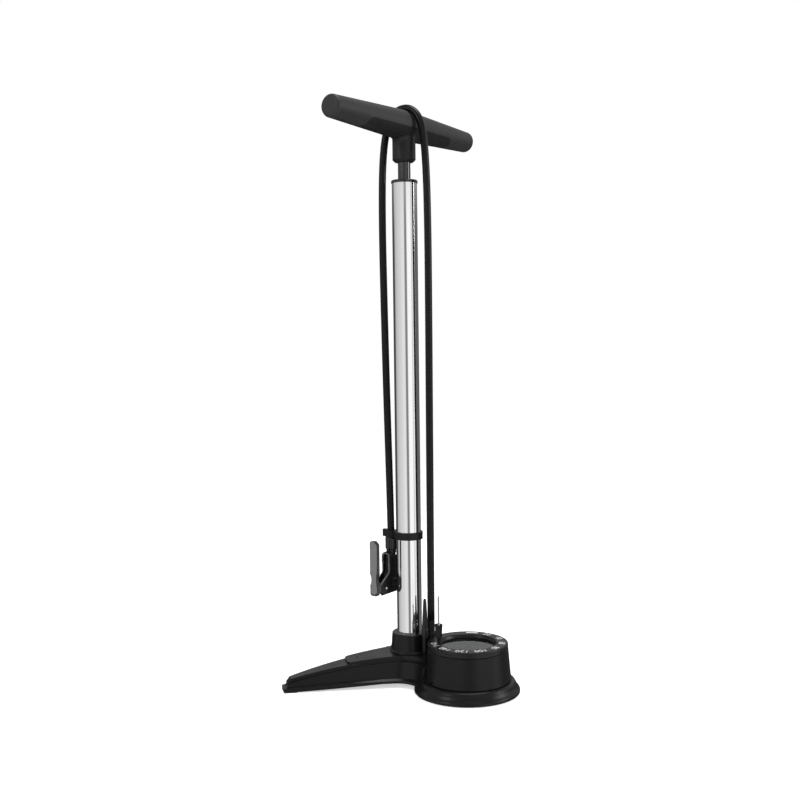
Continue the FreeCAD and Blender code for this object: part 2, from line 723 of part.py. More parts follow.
def hose_path(points):
    """Straight runs joined by tangent arcs, each as large as its two runs allow."""
    edges = []
    length = 0.0
    at = points[0]
    for before, here, after in zip(points, points[1:], points[2:]):
        back = before - here
        ahead = after - here
        short = min(back.Length, ahead.Length)
        half_turn = (math.pi - back.getAngle(ahead)) / 2
        radius = 0.45 * short / math.tan(half_turn)
        cut_off = radius * math.tan(half_turn)
        start = here + back.normalize() * cut_off
        end = here + ahead.normalize() * cut_off
        inward = (back + ahead).normalize()
        middle = here + inward * (radius / math.cos(half_turn) - radius)
        edges.append(Part.LineSegment(at, start).toShape())
        edges.append(Part.Arc(start, middle, end).toShape())
        length += (start - at).Length + 2 * half_turn * radius
        print("hose arc: radius", round(radius, 1), "turn", round(math.degrees(2 * half_turn), 1))
        at = end
    edges.append(Part.LineSegment(at, points[-1]).toShape())
    return Part.Wire(edges), length + (points[-1] - at).Length


def hose():
    path, length = hose_path(HOSE_ROUTE)
    start = HOSE_ROUTE[0]
    section = Part.Wire(Part.makeCircle(HOSE_R, start, HOSE_ROUTE[1] - start))
    body = path.makePipeShell([section], True, False)
    print("hose length", round(length, 1), "volume ratio",
          round(body.Volume / (math.pi * HOSE_R ** 2 * length), 5))
    return body


def hose_fitting():
    """The brass barb that the hose is pushed on, screwed into the manifold."""
    x, y = HOSE_ROUTE[0].x, HOSE_ROUTE[0].y
    return turned([(1.4, 18), (2.9, 18), (2.9, 46), (2.6, 46), (3.0, 52), (2.5, 52), (3.0, 58), (2.5, 58),
                   (3.0, 64), (2.5, 64), (2.5, 70), (1.4, 70)], x, y)


def base_ferrule():
    """The crimped sleeve with the hose's covered foot."""
    x, y = HOSE_ROUTE[0].x, HOSE_ROUTE[0].y
    return turned([(3.1, 36.7), (4.5, 36.7), (4.5, 45), (4.9, 46.2), (4.9, 61), (4.6, 62), (HOSE_R, 62), (HOSE_R, 76), (0, 76), (0, 70.2),
                   (3.1, 70.2)], x, y)


def hose_clip():
    """A band round the barrel with an open hook that holds the hose above the pump head."""
    z1 = CLIP_Z + CLIP_H
    band = ring(17.1, BARREL_R + 0.02, CLIP_Z, z1)
    bridge = Part.makeBox(8, 8, CLIP_H, V(-4, 15.6, CLIP_Z)).cut(ring(16, 0, CLIP_Z - 1, z1 + 1))
    hook = ring(7.2, 0, CLIP_Z, z1, 0, HEAD_Y)
    lug = Part.makeBox(5.6, 6.8, CLIP_H, V(-2.8, HEAD_Y + 4.4, CLIP_Z))
    body = band.fuse([bridge, hook, lug]).removeSplitter()
    body = body.cut(ring(HOSE_R + 0.45, 0, CLIP_Z - 1, z1 + 1, 0, HEAD_Y))
    body = body.cut(Part.makeBox(10, 7.4, CLIP_H + 2, V(0.5, HEAD_Y - 3.7, CLIP_Z - 1)))
    return softened(body, 1.2, lambda e: e.BoundBox.ZLength > 7.9 and e.CenterOfMass.y > HEAD_Y + 10)


# ---------------------------------------------------------------- pump head


def head_outline(inset):
    """The side of the head's body: tall behind, with a jaw that reaches out below for the lever."""
    i = inset
    return [(-12 + i, 150.8 - i), (-12 + i, 131 - i), (-31 + i, 119 - i), (-31.8 + i, 110), (-28 + i, 106 + i),
            (14, 106 + i), (14, 132), (7, 140), (7, 150.8 - i)]


def head_body():
    y0 = HEAD_Y - HEAD_HALF
    y1 = HEAD_Y + HEAD_HALF
    body = slab_xz(head_outline(0.0), y0, y1)
    body = softened(body, 4.5, lambda e: e.BoundBox.YLength > 12 and e.CenterOfMass.z > 150)
    body = softened(body, 1.2, lambda e: e.BoundBox.YLength < 0.1)
    chamber = Part.makeCylinder(7.6, 24, V(-8, HEAD_Y, VALVE_Z), V(1, 0, 0))
    neck = ring(5.4, 0, 148.0, 156.0, 0, HEAD_Y)
    hood = Part.makeBox(5, 2 * HEAD_HALF, HOOD_Z - 142, V(-12, y0, 142))
    hood = hood.fuse(Part.makeCylinder(HEAD_HALF, 5, V(-12, HEAD_Y, HOOD_Z), V(1, 0, 0)))
    body = body.fuse([chamber, neck, hood]).removeSplitter()
    top = HOOD_Z + 4.1
    slot = slab_xz([(-14, top), (-8.4, top), (-8.4, 132.5), (-13, 126), (-13, 105), (-34, 105), (-34, 124)],
                   HEAD_Y - 4.1, HEAD_Y + 4.1)
    slot = softened(slot, 4.0, lambda e: e.BoundBox.XLength > 5 and e.CenterOfMass.z > top - 0.1 and
                    e.BoundBox.YLength < 0.1)
    body = body.cut(slot)
    body = body.cut(Part.makeCylinder(5.7, 26, V(-8.0, HEAD_Y, VALVE_Z), V(1, 0, 0)))
    body = body.cut(Part.makeCylinder(3.1, 12, V(-19.0, HEAD_Y, VALVE_Z), V(1, 0, 0)))
    body = body.cut(ring(2.4, 0, 120.0, 158.0, 0, HEAD_Y))
    return body.cut(Part.makeCylinder(1.5, 20, V(PIVOT_X, HEAD_Y - 10, PIVOT_Z), V(0, 1, 0)))


def head_nose():
    """The screwed ring that keeps the rubber in the head's mouth."""
    body = Part.makeCylinder(8.3, 10, V(14.6, HEAD_Y, VALVE_Z), V(1, 0, 0))
    body = body.cut(Part.makeCylinder(7.65, 2.0, V(14.5, HEAD_Y, VALVE_Z), V(1, 0, 0)))
    body = body.cut(Part.makeCylinder(4.9, 12, V(14, HEAD_Y, VALVE_Z), V(1, 0, 0)))
    for k in range(10):
        turn = math.radians(36 * k)
        groove = Part.makeCylinder(0.7, 12, V(14, HEAD_Y + 8.6 * math.cos(turn), VALVE_Z + 8.6 * math.sin(turn)),
                                   V(1, 0, 0))
        body = body.cut(groove)
    return body


def head_grommet():
    """The rubber sleeve that is squeezed round the valve stem."""
    body = Part.makeCylinder(5.6, 15.4, V(1.0, HEAD_Y, VALVE_Z), V(1, 0, 0))
    return body.cut(Part.makeCylinder(VALVE_R, 17, V(0, HEAD_Y, VALVE_Z), V(1, 0, 0)))


def plunger():
    """Pushed by the lever's cam, it squeezes the rubber."""
    body = Part.makeCylinder(5.6, 4.0, V(-6.0, HEAD_Y, VALVE_Z), V(1, 0, 0))
    body = body.fuse(Part.makeCylinder(3.0, 9.6, V(-15.6, HEAD_Y, VALVE_Z), V(1, 0, 0)))
    return body.cut(Part.makeCylinder(1.6, 12, V(-9, HEAD_Y, VALVE_Z), V(1, 0, 0)))


def head_collar():
    """The sleeve that clamps the hose to the head."""
    body = turned([(HOSE_R + 0.05, 157), (5.9, 157), (7.1, 158.5), (7.2, 171.0), (6.4, 172.4), (HOSE_R + 0.05, 172.4)],
                  0, HEAD_Y)
    floor = ring(6.0, 2.4, 153.5, 157.0, 0, HEAD_Y)
    body = body.fuse(floor).cut(ring(5.45, 2.4, 150.0, 156.05, 0, HEAD_Y))
    return body.removeSplitter()


def head_barb():
    """The tail of the head inside the hose's end, with the end of the hose round it."""
    return ring(HOSE_R, 1.6, 157.0, 175.0, 0, HEAD_Y)


def lever():
    """The thumb lever: a long plate that stands beside the head, with a cam round the pivot pin."""
    y0 = HEAD_Y - 5.7
    plate = Part.makeBox(4.0, 11.4, 66, V(-37.2, y0, 106.5))
    tip = [e for e in plate.Edges if e.BoundBox.XLength > 3.9 and e.CenterOfMass.z > 170]
    plate = plate.makeChamfer(4.0, [e for e in tip if e.CenterOfMass.y < HEAD_Y])
    far = [e for e in plate.Edges if e.BoundBox.XLength > 3.9 and e.CenterOfMass.z > 170
           and e.CenterOfMass.y > HEAD_Y + 5]
    plate = plate.makeFillet(3.0, far)
    foot = [e for e in plate.Edges if e.BoundBox.XLength > 3.9 and e.CenterOfMass.z < 107]
    plate = plate.makeFillet(3.6, foot)
    for side in (-1, 1):
        waist = Part.makeCylinder(14.0, 8, V(-39, HEAD_Y + side * 18.0, 126.0), V(1, 0, 0))
        plate = plate.cut(waist)
    arm = slab_xz([(-33.4, 124), (-33.4, 109), (-28, 109.3), (-20, 109.5), (-16.8, 112), (-16.6, 115.4),
                   (-20, 117.4), (-25, 119.5)], HEAD_Y - 3.7, HEAD_Y + 3.7)
    body = plate.fuse(arm).removeSplitter()
    return body.cut(Part.makeCylinder(1.55, 20, V(PIVOT_X, HEAD_Y - 10, PIVOT_Z), V(0, 1, 0)))


def lever_pin():
    """The pivot pin, riveted over at both ends."""
    body = Part.makeCylinder(1.48, 2 * HEAD_HALF + 0.6, V(PIVOT_X, HEAD_Y - HEAD_HALF - 0.3, PIVOT_Z), V(0, 1, 0))
    for side in (-1, 1):
        dome = Part.makeSphere(2.0, V(PIVOT_X, HEAD_Y + side * (HEAD_HALF - 1.0), PIVOT_Z))
        cap = Part.makeBox(6, 2, 6, V(PIVOT_X - 3, HEAD_Y + side * (HEAD_HALF + 1.02) - 1, PIVOT_Z - 3))
        body = body.fuse(dome.common(cap))
    return body


# ---------------------------------------------------------------- stored accessories


def needle_holder():
    """The tall cup on the gauge's ring that keeps the ball needle."""
    x, y = NEEDLE_AT
    z = BEZEL_TOP
    rim = z + NEEDLE_CUP
    return turned([(0, z), (2.9, z), (2.4, z + 1.2), (2.4, z + 6.6), (3.9, z + 8.8), (4.3, rim - 3.5), (4.7, rim - 0.6),
                   (4.5, rim), (3.5, rim), (3.3, rim - 10), (1.8, rim - 12), (0, rim - 12)], x, y)


def ball_needle():
    """The hollow needle for balls, with its threaded foot in the cup."""
    x, y = NEEDLE_AT
    z = BEZEL_TOP + NEEDLE_CUP - 11.9
    body = turned([(0, z), (1.75, z), (3.1, z + 2), (3.1, z + 8.6), (2.4, z + 9.6), (1.5, z + 11.6), (1.05, z + 13),
                   (0.95, z + 43.4), (0.6, z + 44.8), (0, z + 44.8)], x, y)
    return body.cut(Part.makeCylinder(0.4, 4, V(x, y - 2, z + 40.5), V(0, 1, 0)))


def nozzle_post():
    """The peg between barrel and gauge that carries the tapered nozzle."""
    x, y = NOZZLE_AT
    body = ring(NOZZLE_POST_R, 0, 32.5, NOZZLE_BOTTOM - 0.2, x, y).fuse(ring(1.5, 0, 55.0, NOZZLE_BOTTOM + 9.0, x, y))
    socket = [(0, 30), (SOCKET_R + 2.1, 30), (SOCKET_R + 2.1, 37.5), (SOCKET_R + 0.5, 39.7), (SOCKET_R + 0.1, 42.5),
              (SOCKET_TOP_R + 0.8, SOCKET_TOP), (0, SOCKET_TOP)]
    return body.cut(turned(socket))


def cone_nozzle():
    """The tapered plastic nozzle for wide valves."""
    x, y = NOZZLE_AT
    z = NOZZLE_BOTTOM
    return turned([(1.6, z), (4.0, z), (4.2, z + 1.0), (4.2, z + 8), (3.7, z + 9.5), (1.9, z + 43), (1.4, z + 45),
                   (0.7, z + 45), (0.7, z + 12), (1.6, z + 11)], x, y)


PIECES = [
    base_shell, base_cover, cover_screws, foot_left, foot_right, skirt_foot_ring, foot_cover, air_manifold, drum_screws,
    barrel_tube, foot_plug, foot_oring, valve_seat, valve_disc, valve_spring,
    barrel_cap, cap_bush, rod_wiper, cap_bumper,
    piston_head, piston_cup, piston_washer, piston_bolt, piston_rod,
    handle_core, handle_grip, grip_screws, rod_screw,
    gauge_housing, gauge_bezel, gauge_lens, lens_gasket, dial_spacer, gauge_dial, gauge_stem, bourdon_tube,
    movement_plate, movement_posts, sector_gear, pointer_arbor, gauge_pointer,
    hose, hose_fitting, base_ferrule, hose_clip,
    head_body, head_nose, head_grommet, plunger, head_collar, head_barb, lever, lever_pin,
    needle_holder, ball_needle, nozzle_post, cone_nozzle,
]


def main():
    os.makedirs("parts", exist_ok=True)
    shapes = {piece.__name__: piece() for piece in PIECES}
    for name, shape in shapes.items():
        if not shape.isValid() or shape.Volume <= 0:
            print("check", name, shape.isValid(), shape.Volume)
        shape.exportStep("parts/" + name + ".step")
    print(len(shapes), "sub-parts")


main()
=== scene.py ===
"""The looks of a floor pump for bicycle tyres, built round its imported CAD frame.

Lengths are in metres. The origin lies on the floor under the axis of the barrel, +Z is up, -Y is the side
of the pressure gauge, and the bar of the handle runs along X.
"""

import logging
import math
from dataclasses import dataclass
from enum import Enum
from typing import ClassVar

import bmesh
import bpy
import numpy as np
from mathutils import Matrix, Vector


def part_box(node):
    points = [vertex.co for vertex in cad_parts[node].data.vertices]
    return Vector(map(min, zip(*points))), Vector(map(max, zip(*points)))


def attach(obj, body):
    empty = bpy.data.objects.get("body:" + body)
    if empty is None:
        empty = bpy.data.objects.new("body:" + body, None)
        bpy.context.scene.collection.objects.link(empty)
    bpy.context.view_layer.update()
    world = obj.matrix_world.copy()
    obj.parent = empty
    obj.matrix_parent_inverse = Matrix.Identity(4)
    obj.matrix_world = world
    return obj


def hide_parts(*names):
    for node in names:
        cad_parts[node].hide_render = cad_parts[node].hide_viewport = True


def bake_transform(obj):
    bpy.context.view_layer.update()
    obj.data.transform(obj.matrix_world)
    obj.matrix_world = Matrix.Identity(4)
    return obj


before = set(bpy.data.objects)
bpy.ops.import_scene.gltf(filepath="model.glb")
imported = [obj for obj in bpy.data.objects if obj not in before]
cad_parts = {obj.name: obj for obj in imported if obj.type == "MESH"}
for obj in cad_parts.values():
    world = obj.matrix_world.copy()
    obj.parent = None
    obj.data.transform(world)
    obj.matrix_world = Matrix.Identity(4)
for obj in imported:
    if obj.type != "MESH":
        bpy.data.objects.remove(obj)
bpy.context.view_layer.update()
LOG = logging.getLogger("floor_pump")

MM = 0.001
BEVEL_SAMPLES = 6
END_SHRINK = 0.02

Socket = bpy.types.NodeSocket


# ---------------------------------------------------------------- shader building


class Space(Enum):
    """Where a pattern takes its coordinates from."""

    OBJECT = "Object"
    ALONG = "UV"


class Recipe:
    """One material's node tree, with short calls for the patterns that the finishes share."""

    def __init__(self, name: str) -> None:
        """Start an empty material.

        Args:
            name: the material's name.
        """
        self.material = bpy.data.materials.new(name)
        self.material.use_nodes = True
        self.nodes = self.material.node_tree.nodes
        self.links = self.material.node_tree.links
        self.nodes.clear()
        self.output = self.nodes.new("ShaderNodeOutputMaterial")
        self.shader = self.nodes.new("ShaderNodeBsdfPrincipled")
        self.links.new(self.shader.outputs[0], self.output.inputs["Surface"])
        self.places = self.nodes.new("ShaderNodeTexCoord")

    def fix(self, **values: float | tuple[float, ...]) -> None:
        """Set constants on the shader's own sockets.

        Args:
            values: the sockets' names, with an underscore for each space, and their values.
        """
        for name, value in values.items():
            self.shader.inputs[name.replace("_", " ")].default_value = value

    def stretched(self, scale: tuple[float, float, float], space: Space) -> Socket:
        """Scale the coordinates, axis by axis.

        Args:
            scale: the factor for each axis.
            space: where the coordinates come from.

        Returns:
            The scaled coordinates.
        """
        mapping = self.nodes.new("ShaderNodeMapping")
        mapping.inputs["Scale"].default_value = scale
        self.links.new(self.places.outputs[space.value], mapping.inputs["Vector"])
        return mapping.outputs[0]

    def cloud(self, scale: float | tuple[float, float, float], detail: float = 3.0,
              rough: float = 0.55, space: Space = Space.OBJECT) -> Socket:
        """Fractal noise.

        Args:
            scale: cells per metre, one number or one for each axis.
            detail: how many finer layers are added.
            rough: how strong the finer layers are.
            space: where the coordinates come from.

        Returns:
            The noise, from 0 to 1.
        """
        scales = scale if isinstance(scale, tuple) else (scale, scale, scale)
        noise = self.nodes.new("ShaderNodeTexNoise")
        noise.inputs["Scale"].default_value = 1.0
        noise.inputs["Detail"].default_value = detail
        noise.inputs["Roughness"].default_value = rough
        self.links.new(self.stretched(scales, space), noise.inputs["Vector"])
        return noise.outputs["Fac"]

    def cells(self, scale: float) -> Socket:
        """A pebbled grain: the distance to the nearest of scattered points.

        Args:
            scale: how many points there are per metre.

        Returns:
            The distance, in cells.
        """
        pebbles = self.nodes.new("ShaderNodeTexVoronoi")
        pebbles.inputs["Scale"].default_value = 1.0
        self.links.new(self.stretched((scale, scale, scale), Space.OBJECT), pebbles.inputs["Vector"])
        return pebbles.outputs["Distance"]

    def spread(self, value: Socket, low: float, high: float, start: float = 0.3, end: float = 0.7) -> Socket:
        """Map a value from one range to another, held at both ends.

        Args:
            value: what is mapped.
            low: the result at start.
            high: the result at end.
            start: where the first range begins.
            end: where it ends.

        Returns:
            The mapped value.
        """
        span = self.nodes.new("ShaderNodeMapRange")
        span.inputs["From Min"].default_value = start
        span.inputs["From Max"].default_value = end
        span.inputs["To Min"].default_value = low
        span.inputs["To Max"].default_value = high
        self.links.new(value, span.inputs["Value"])
        return span.outputs[0]

    def blend(self, share: Socket, first: tuple[float, ...], second: tuple[float, ...]) -> Socket:
        """A colour between two others.

        Args:
            share: 0 gives first and 1 gives second.
            first: one colour.
            second: the other.

        Returns:
            The mixed colour.
        """
        mix = self.nodes.new("ShaderNodeMix")
        mix.data_type = "RGBA"
        mix.inputs["A"].default_value = (*first[:3], 1.0)
        mix.inputs["B"].default_value = (*second[:3], 1.0)
        self.links.new(share, mix.inputs["Factor"])
        return mix.outputs["Result"]

    def drive(self, name: str, value: Socket) -> None:
        """Link a worked-out value to one of the shader's sockets.

        Args:
            name: the socket's name.
            value: what drives it.
        """
        self.links.new(value, self.shader.inputs[name])

    def relief(self, layers: list[tuple[Socket, float]], edge: float = 0.0) -> None:
        """Raise the surface by layers of height, over edges softened to a small radius.

        Args:
            layers: pairs of a height pattern from 0 to 1 and its depth in metres.
            edge: the radius to which sharp edges are eased, in metres.
        """
        normal = None
        if edge:
            eased = self.nodes.new("ShaderNodeBevel")
            eased.samples = BEVEL_SAMPLES
            eased.inputs["Radius"].default_value = edge
            normal = eased.outputs[0]
        for height, depth in layers:
            bump = self.nodes.new("ShaderNodeBump")
            bump.inputs["Strength"].default_value = 1.0
            bump.inputs["Distance"].default_value = depth
            self.links.new(height, bump.inputs["Height"])
            if normal is not None:
                self.links.new(normal, bump.inputs["Normal"])
            normal = bump.outputs[0]
        if normal is not None:
            self.drive("Normal", normal)


def toned(colour: tuple[float, float, float], factor: float) -> tuple[float, float, float]:
    """Make a colour darker or lighter.

    Args:
        colour: red, green and blue.
        factor: below 1 is darker, above 1 is lighter.

    Returns:
        The new colour, with no channel above 1.
    """
    return tuple(min(1.0, channel * factor) for channel in colour)


@dataclass(frozen=True)
class MouldedPlastic:
    """Injection-moulded plastic: a fine spark-eroded grain, faint flow clouds and handling marks."""

    name: str
    colour: tuple[float, float, float]
    roughness: float
    grain: float = 1500.0
    depth: float = 0.00003
    edge: float = 0.0007
    specular: float = 0.5

    def mix(self) -> Recipe:
        """Build the material's nodes.

        Returns:
            The recipe that holds them.
        """
        recipe = Recipe(self.name)
        recipe.fix(Specular_IOR_Level=self.specular)
        clouds = recipe.cloud(24.0, 5.0)
        recipe.drive("Base Color", recipe.blend(clouds, toned(self.colour, 0.88), toned(self.colour, 1.12)))
        marks = recipe.cloud((60.0, 60.0, 22.0), 6.0, 0.7)
        recipe.drive("Roughness", recipe.spread(marks, self.roughness - 0.05, self.roughness + 0.06))
        recipe.relief([(recipe.cells(self.grain), self.depth), (recipe.cloud(self.grain * 0.3), self.depth)],
                      self.edge)
        return recipe


@dataclass(frozen=True)
class SoftRubber:
    """Black rubber: dull, with a velvety rim, a little dust and a fine mould texture."""

    name: str
    colour: tuple[float, float, float] = (0.018, 0.018, 0.019)
    roughness: float = 0.62
    along: bool = False
    specular: float = 0.4

    def mix(self) -> Recipe:
        """Build the material's nodes; along draws extrusion lines that follow the piece's own UV map.

        Returns:
            The recipe that holds them.
        """
        recipe = Recipe(self.name)
        recipe.fix(Specular_IOR_Level=self.specular, Sheen_Weight=0.015, Sheen_Roughness=0.4)
        dust = recipe.cloud(70.0, 6.0, 0.7)
        recipe.drive("Base Color", recipe.blend(recipe.spread(dust, 0.0, 1.0, 0.45, 0.8),
                                                self.colour, toned(self.colour, 1.6)))
        recipe.drive("Roughness", recipe.spread(dust, self.roughness - 0.06, self.roughness + 0.08))
        layers = [(recipe.cloud(900.0, 4.0), 0.00004)]
        if self.along:
            layers.append((recipe.cloud((6.0, 46.0, 1.0), 2.0, 0.5, Space.ALONG), 0.00007))
        recipe.relief(layers)
        return recipe


@dataclass(frozen=True)
class DrawnMetal:
    """Bare metal with fine lines drawn along Z, slight haze and a few rub marks."""

    name: str
    colour: tuple[float, float, float]
    roughness: float
    line: float = 3200.0
    depth: float = 0.000004
    edge: float = 0.0

    def mix(self) -> Recipe:
        """Build the material's nodes.

        Returns:
            The recipe that holds them.
        """
        recipe = Recipe(self.name)
        recipe.fix(Metallic=1.0)
        haze = recipe.cloud((30.0, 30.0, 7.0), 4.0)
        recipe.drive("Base Color", recipe.blend(haze, toned(self.colour, 0.96), toned(self.colour, 1.03)))
        rubs = recipe.cloud((420.0, 420.0, 12.0), 5.0, 0.65)
        recipe.drive("Roughness", recipe.spread(rubs, self.roughness * 0.8, self.roughness * 1.5))
        recipe.relief([(recipe.cloud((self.line, self.line, 20.0), 2.0), self.depth)], self.edge)
        return recipe


@dataclass(frozen=True)
class GlossPaint:
    """Enamel or gloss plastic: a clear coat over dark colour, with orange peel and hairline rubs."""

    name: str
    colour: tuple[float, float, float]
    roughness: float = 0.28
    coat: float = 0.6
    edge: float = 0.0004

    def mix(self) -> Recipe:
        """Build the material's nodes.

        Returns:
            The recipe that holds them.
        """
        recipe = Recipe(self.name)
        recipe.fix(Coat_Weight=self.coat, Coat_Roughness=0.08)
        tone = recipe.cloud(40.0, 4.0)
        recipe.drive("Base Color", recipe.blend(tone, toned(self.colour, 0.9), toned(self.colour, 1.1)))
        rubs = recipe.cloud((500.0, 500.0, 16.0), 5.0, 0.7)
        recipe.drive("Roughness", recipe.spread(rubs, self.roughness - 0.06, self.roughness + 0.1))
        recipe.relief([(recipe.cloud(380.0, 2.0), 0.000012)], self.edge)
        return recipe


@dataclass(frozen=True)
class Casting:
    """Die-cast or sintered metal: grey, matt and faintly pitted."""

    name: str
    colour: tuple[float, float, float]
    roughness: float = 0.5
    metallic: float = 1.0

    def mix(self) -> Recipe:
        """Build the material's nodes.

        Returns:
            The recipe that holds them.
        """
        recipe = Recipe(self.name)
        recipe.fix(Metallic=self.metallic)
        stain = recipe.cloud(90.0, 6.0, 0.7)
        recipe.drive("Base Color", recipe.blend(stain, toned(self.colour, 0.8), toned(self.colour, 1.15)))
        recipe.drive("Roughness", recipe.spread(stain, self.roughness - 0.1, self.roughness + 0.12))
        recipe.relief([(recipe.cells(700.0), 0.00003), (recipe.cloud(1600.0), 0.00001)], 0.0003)
        return recipe


@dataclass(frozen=True)
class PrintedInk:
    """Pad-printed ink: flat, with slightly uneven cover."""

    name: str
    colour: tuple[float, float, float]

    def mix(self) -> Recipe:
        """Build the material's nodes.

        Returns:
            The recipe that holds them.
        """
        recipe = Recipe(self.name)
        cover = recipe.cloud(1200.0, 5.0, 0.7)
        recipe.drive("Base Color", recipe.blend(cover, toned(self.colour, 0.82), self.colour))
        recipe.drive("Roughness", recipe.spread(cover, 0.42, 0.6))
        recipe.relief([(recipe.cloud(2400.0), 0.000004)])
        return recipe


@dataclass(frozen=True)
class ClearWindow:
    """A thin clear window: a mirror film as strong as Fresnel's law gives, and see-through otherwise."""

    name: str
    index: float = 1.49

    def mix(self) -> Recipe:
        """Build the material's nodes.

        Returns:
            The recipe that holds them.
        """
        recipe = Recipe(self.name)
        recipe.fix(Metallic=1.0, Base_Color=(0.92, 0.94, 0.95, 1.0))
        fresnel = recipe.nodes.new("ShaderNodeFresnel")
        fresnel.inputs["IOR"].default_value = self.index
        recipe.drive("Alpha", fresnel.outputs[0])
        smears = recipe.cloud(55.0, 5.0, 0.7)
        recipe.drive("Roughness", recipe.spread(smears, 0.03, 0.14, 0.45, 0.8))
        return recipe


Finish = MouldedPlastic | SoftRubber | DrawnMetal | GlossPaint | Casting | PrintedInk | ClearWindow

BASE_PLASTIC = MouldedPlastic("base_plastic", (0.0050, 0.0050, 0.0055), 0.30, specular=0.27)
COVER_PLASTIC = MouldedPlastic("cover_plastic", (0.0055, 0.0055, 0.0060), 0.32, specular=0.27)
DRUM_PLASTIC = MouldedPlastic("drum_plastic", (0.0050, 0.0050, 0.0055), 0.34, grain=1800.0, specular=0.24)
BEZEL_PLASTIC = MouldedPlastic("bezel_plastic", (0.0065, 0.0065, 0.0070), 0.33, grain=2200.0, depth=0.00002,
                               specular=0.3)
GRIP_PLASTIC = MouldedPlastic("grip_plastic", (0.017, 0.017, 0.018), 0.52, grain=1100.0, depth=0.00005,
                              specular=0.4)
CORE_PLASTIC = MouldedPlastic("core_plastic", (0.009, 0.009, 0.0095), 0.40, specular=0.3)
HEAD_PLASTIC = MouldedPlastic("head_plastic", (0.009, 0.0095, 0.0095), 0.32, grain=2400.0, depth=0.00002,
                              edge=0.0005, specular=0.3)
CLIP_PLASTIC = MouldedPlastic("clip_plastic", (0.008, 0.008, 0.0085), 0.42, edge=0.0005, specular=0.22)
NOZZLE_PLASTIC = MouldedPlastic("nozzle_plastic", (0.012, 0.012, 0.0125), 0.40, edge=0.0003, specular=0.35)
GUIDE_PLASTIC = MouldedPlastic("guide_plastic", (0.66, 0.66, 0.62), 0.40, edge=0.0003)
GLOSS_BLACK = GlossPaint("gloss_black", (0.007, 0.007, 0.0075), coat=0.35)
ROD_ENAMEL = GlossPaint("rod_enamel", (0.009, 0.009, 0.0095), roughness=0.22, coat=0.6, edge=0.0)
LEVER_BLACK = GlossPaint("lever_black", (0.009, 0.009, 0.0095), roughness=0.32, coat=0.3)
LEVER_GREY = GlossPaint("lever_grey", (0.155, 0.155, 0.16), roughness=0.42, coat=0.15)
# Light grey for the black head's slot rim: a painted highlight, not the plastic's own colour.
SLOT_RIM_HIGHLIGHT = MouldedPlastic("slot_rim_painted_highlight", (0.17, 0.17, 0.175), 0.34, depth=0.00001, edge=0.0)
POINTER_ENAMEL = GlossPaint("pointer_enamel", (0.62, 0.07, 0.04), edge=0.0)
BLACK_RUBBER = SoftRubber("black_rubber")
HOSE_RUBBER = SoftRubber("hose_rubber", (0.005, 0.005, 0.0055), 0.30, along=True, specular=0.2)
CUFF_RUBBER = SoftRubber("cuff_rubber", (0.007, 0.007, 0.0075), 0.42, specular=0.25)
BARREL_ALUMINIUM = DrawnMetal("barrel_aluminium", (0.94, 0.94, 0.95), 0.07)
PISTON_ALUMINIUM = DrawnMetal("piston_aluminium", (0.88, 0.88, 0.89), 0.22)
SCREW_STEEL = DrawnMetal("screw_steel", (0.52, 0.52, 0.53), 0.30, edge=0.0002)
BRIGHT_STEEL = DrawnMetal("bright_steel", (0.78, 0.78, 0.79), 0.14)
NEEDLE_STEEL = DrawnMetal("needle_steel", (0.40, 0.40, 0.41), 0.32)
SPRING_STEEL = DrawnMetal("spring_steel", (0.50, 0.50, 0.52), 0.26)
BRASS = DrawnMetal("brass", (0.76, 0.57, 0.27), 0.24, edge=0.0002)
CAST_ALLOY = Casting("cast_alloy", (0.42, 0.42, 0.43))
DIAL_PAINT = Casting("dial_paint", (0.135, 0.135, 0.140), roughness=0.55, metallic=0.0)
GAUGE_WINDOW = ClearWindow("gauge_window")
WHITE_INK = PrintedInk("white_ink", (0.95, 0.95, 0.95))
GREY_INK = PrintedInk("grey_ink", (0.62, 0.62, 0.62))


class PaintShop:
    """Mixes each finish once and puts it on pieces."""

    def __init__(self) -> None:
        """Start with no materials mixed."""
        self.mixed: dict[str, bpy.types.Material] = {}

    def paint(self, piece: bpy.types.Object, finish: Finish) -> None:
        """Give a piece a finish in place of whatever it had.

        Args:
            piece: the piece.
            finish: its new finish.
        """
        if finish.name not in self.mixed:
            self.mixed[finish.name] = finish.mix().material
        piece.data.materials.clear()
        piece.data.materials.append(self.mixed[finish.name])


# ---------------------------------------------------------------- mesh building


def as_piece(name: str, vertices: np.ndarray, faces: np.ndarray, smooth: bool = True,
             corner_uv: np.ndarray | None = None) -> bpy.types.Object:
    """Make a mesh object from whole arrays.

    Args:
        name: the piece's name.
        vertices: its points, an array of n by 3.
        faces: rows of vertex numbers, counter-clockwise from outside.
        smooth: whether its faces are shaded smooth.
        corner_uv: a map with one row for each face corner, or None.

    Returns:
        The new object, at the origin.
    """
    mesh = bpy.data.meshes.new(name)
    mesh.from_pydata(vertices.tolist(), [], [row for row in faces.tolist()])
    mesh.polygons.foreach_set("use_smooth", np.full(len(mesh.polygons), smooth))
    if corner_uv is not None:
        layer = mesh.uv_layers.new(name="along")
        layer.data.foreach_set("uv", corner_uv.astype(np.float32).ravel())
    mesh.update()
    piece = bpy.data.objects.new(name, mesh)
    bpy.context.collection.objects.link(piece)
    return piece


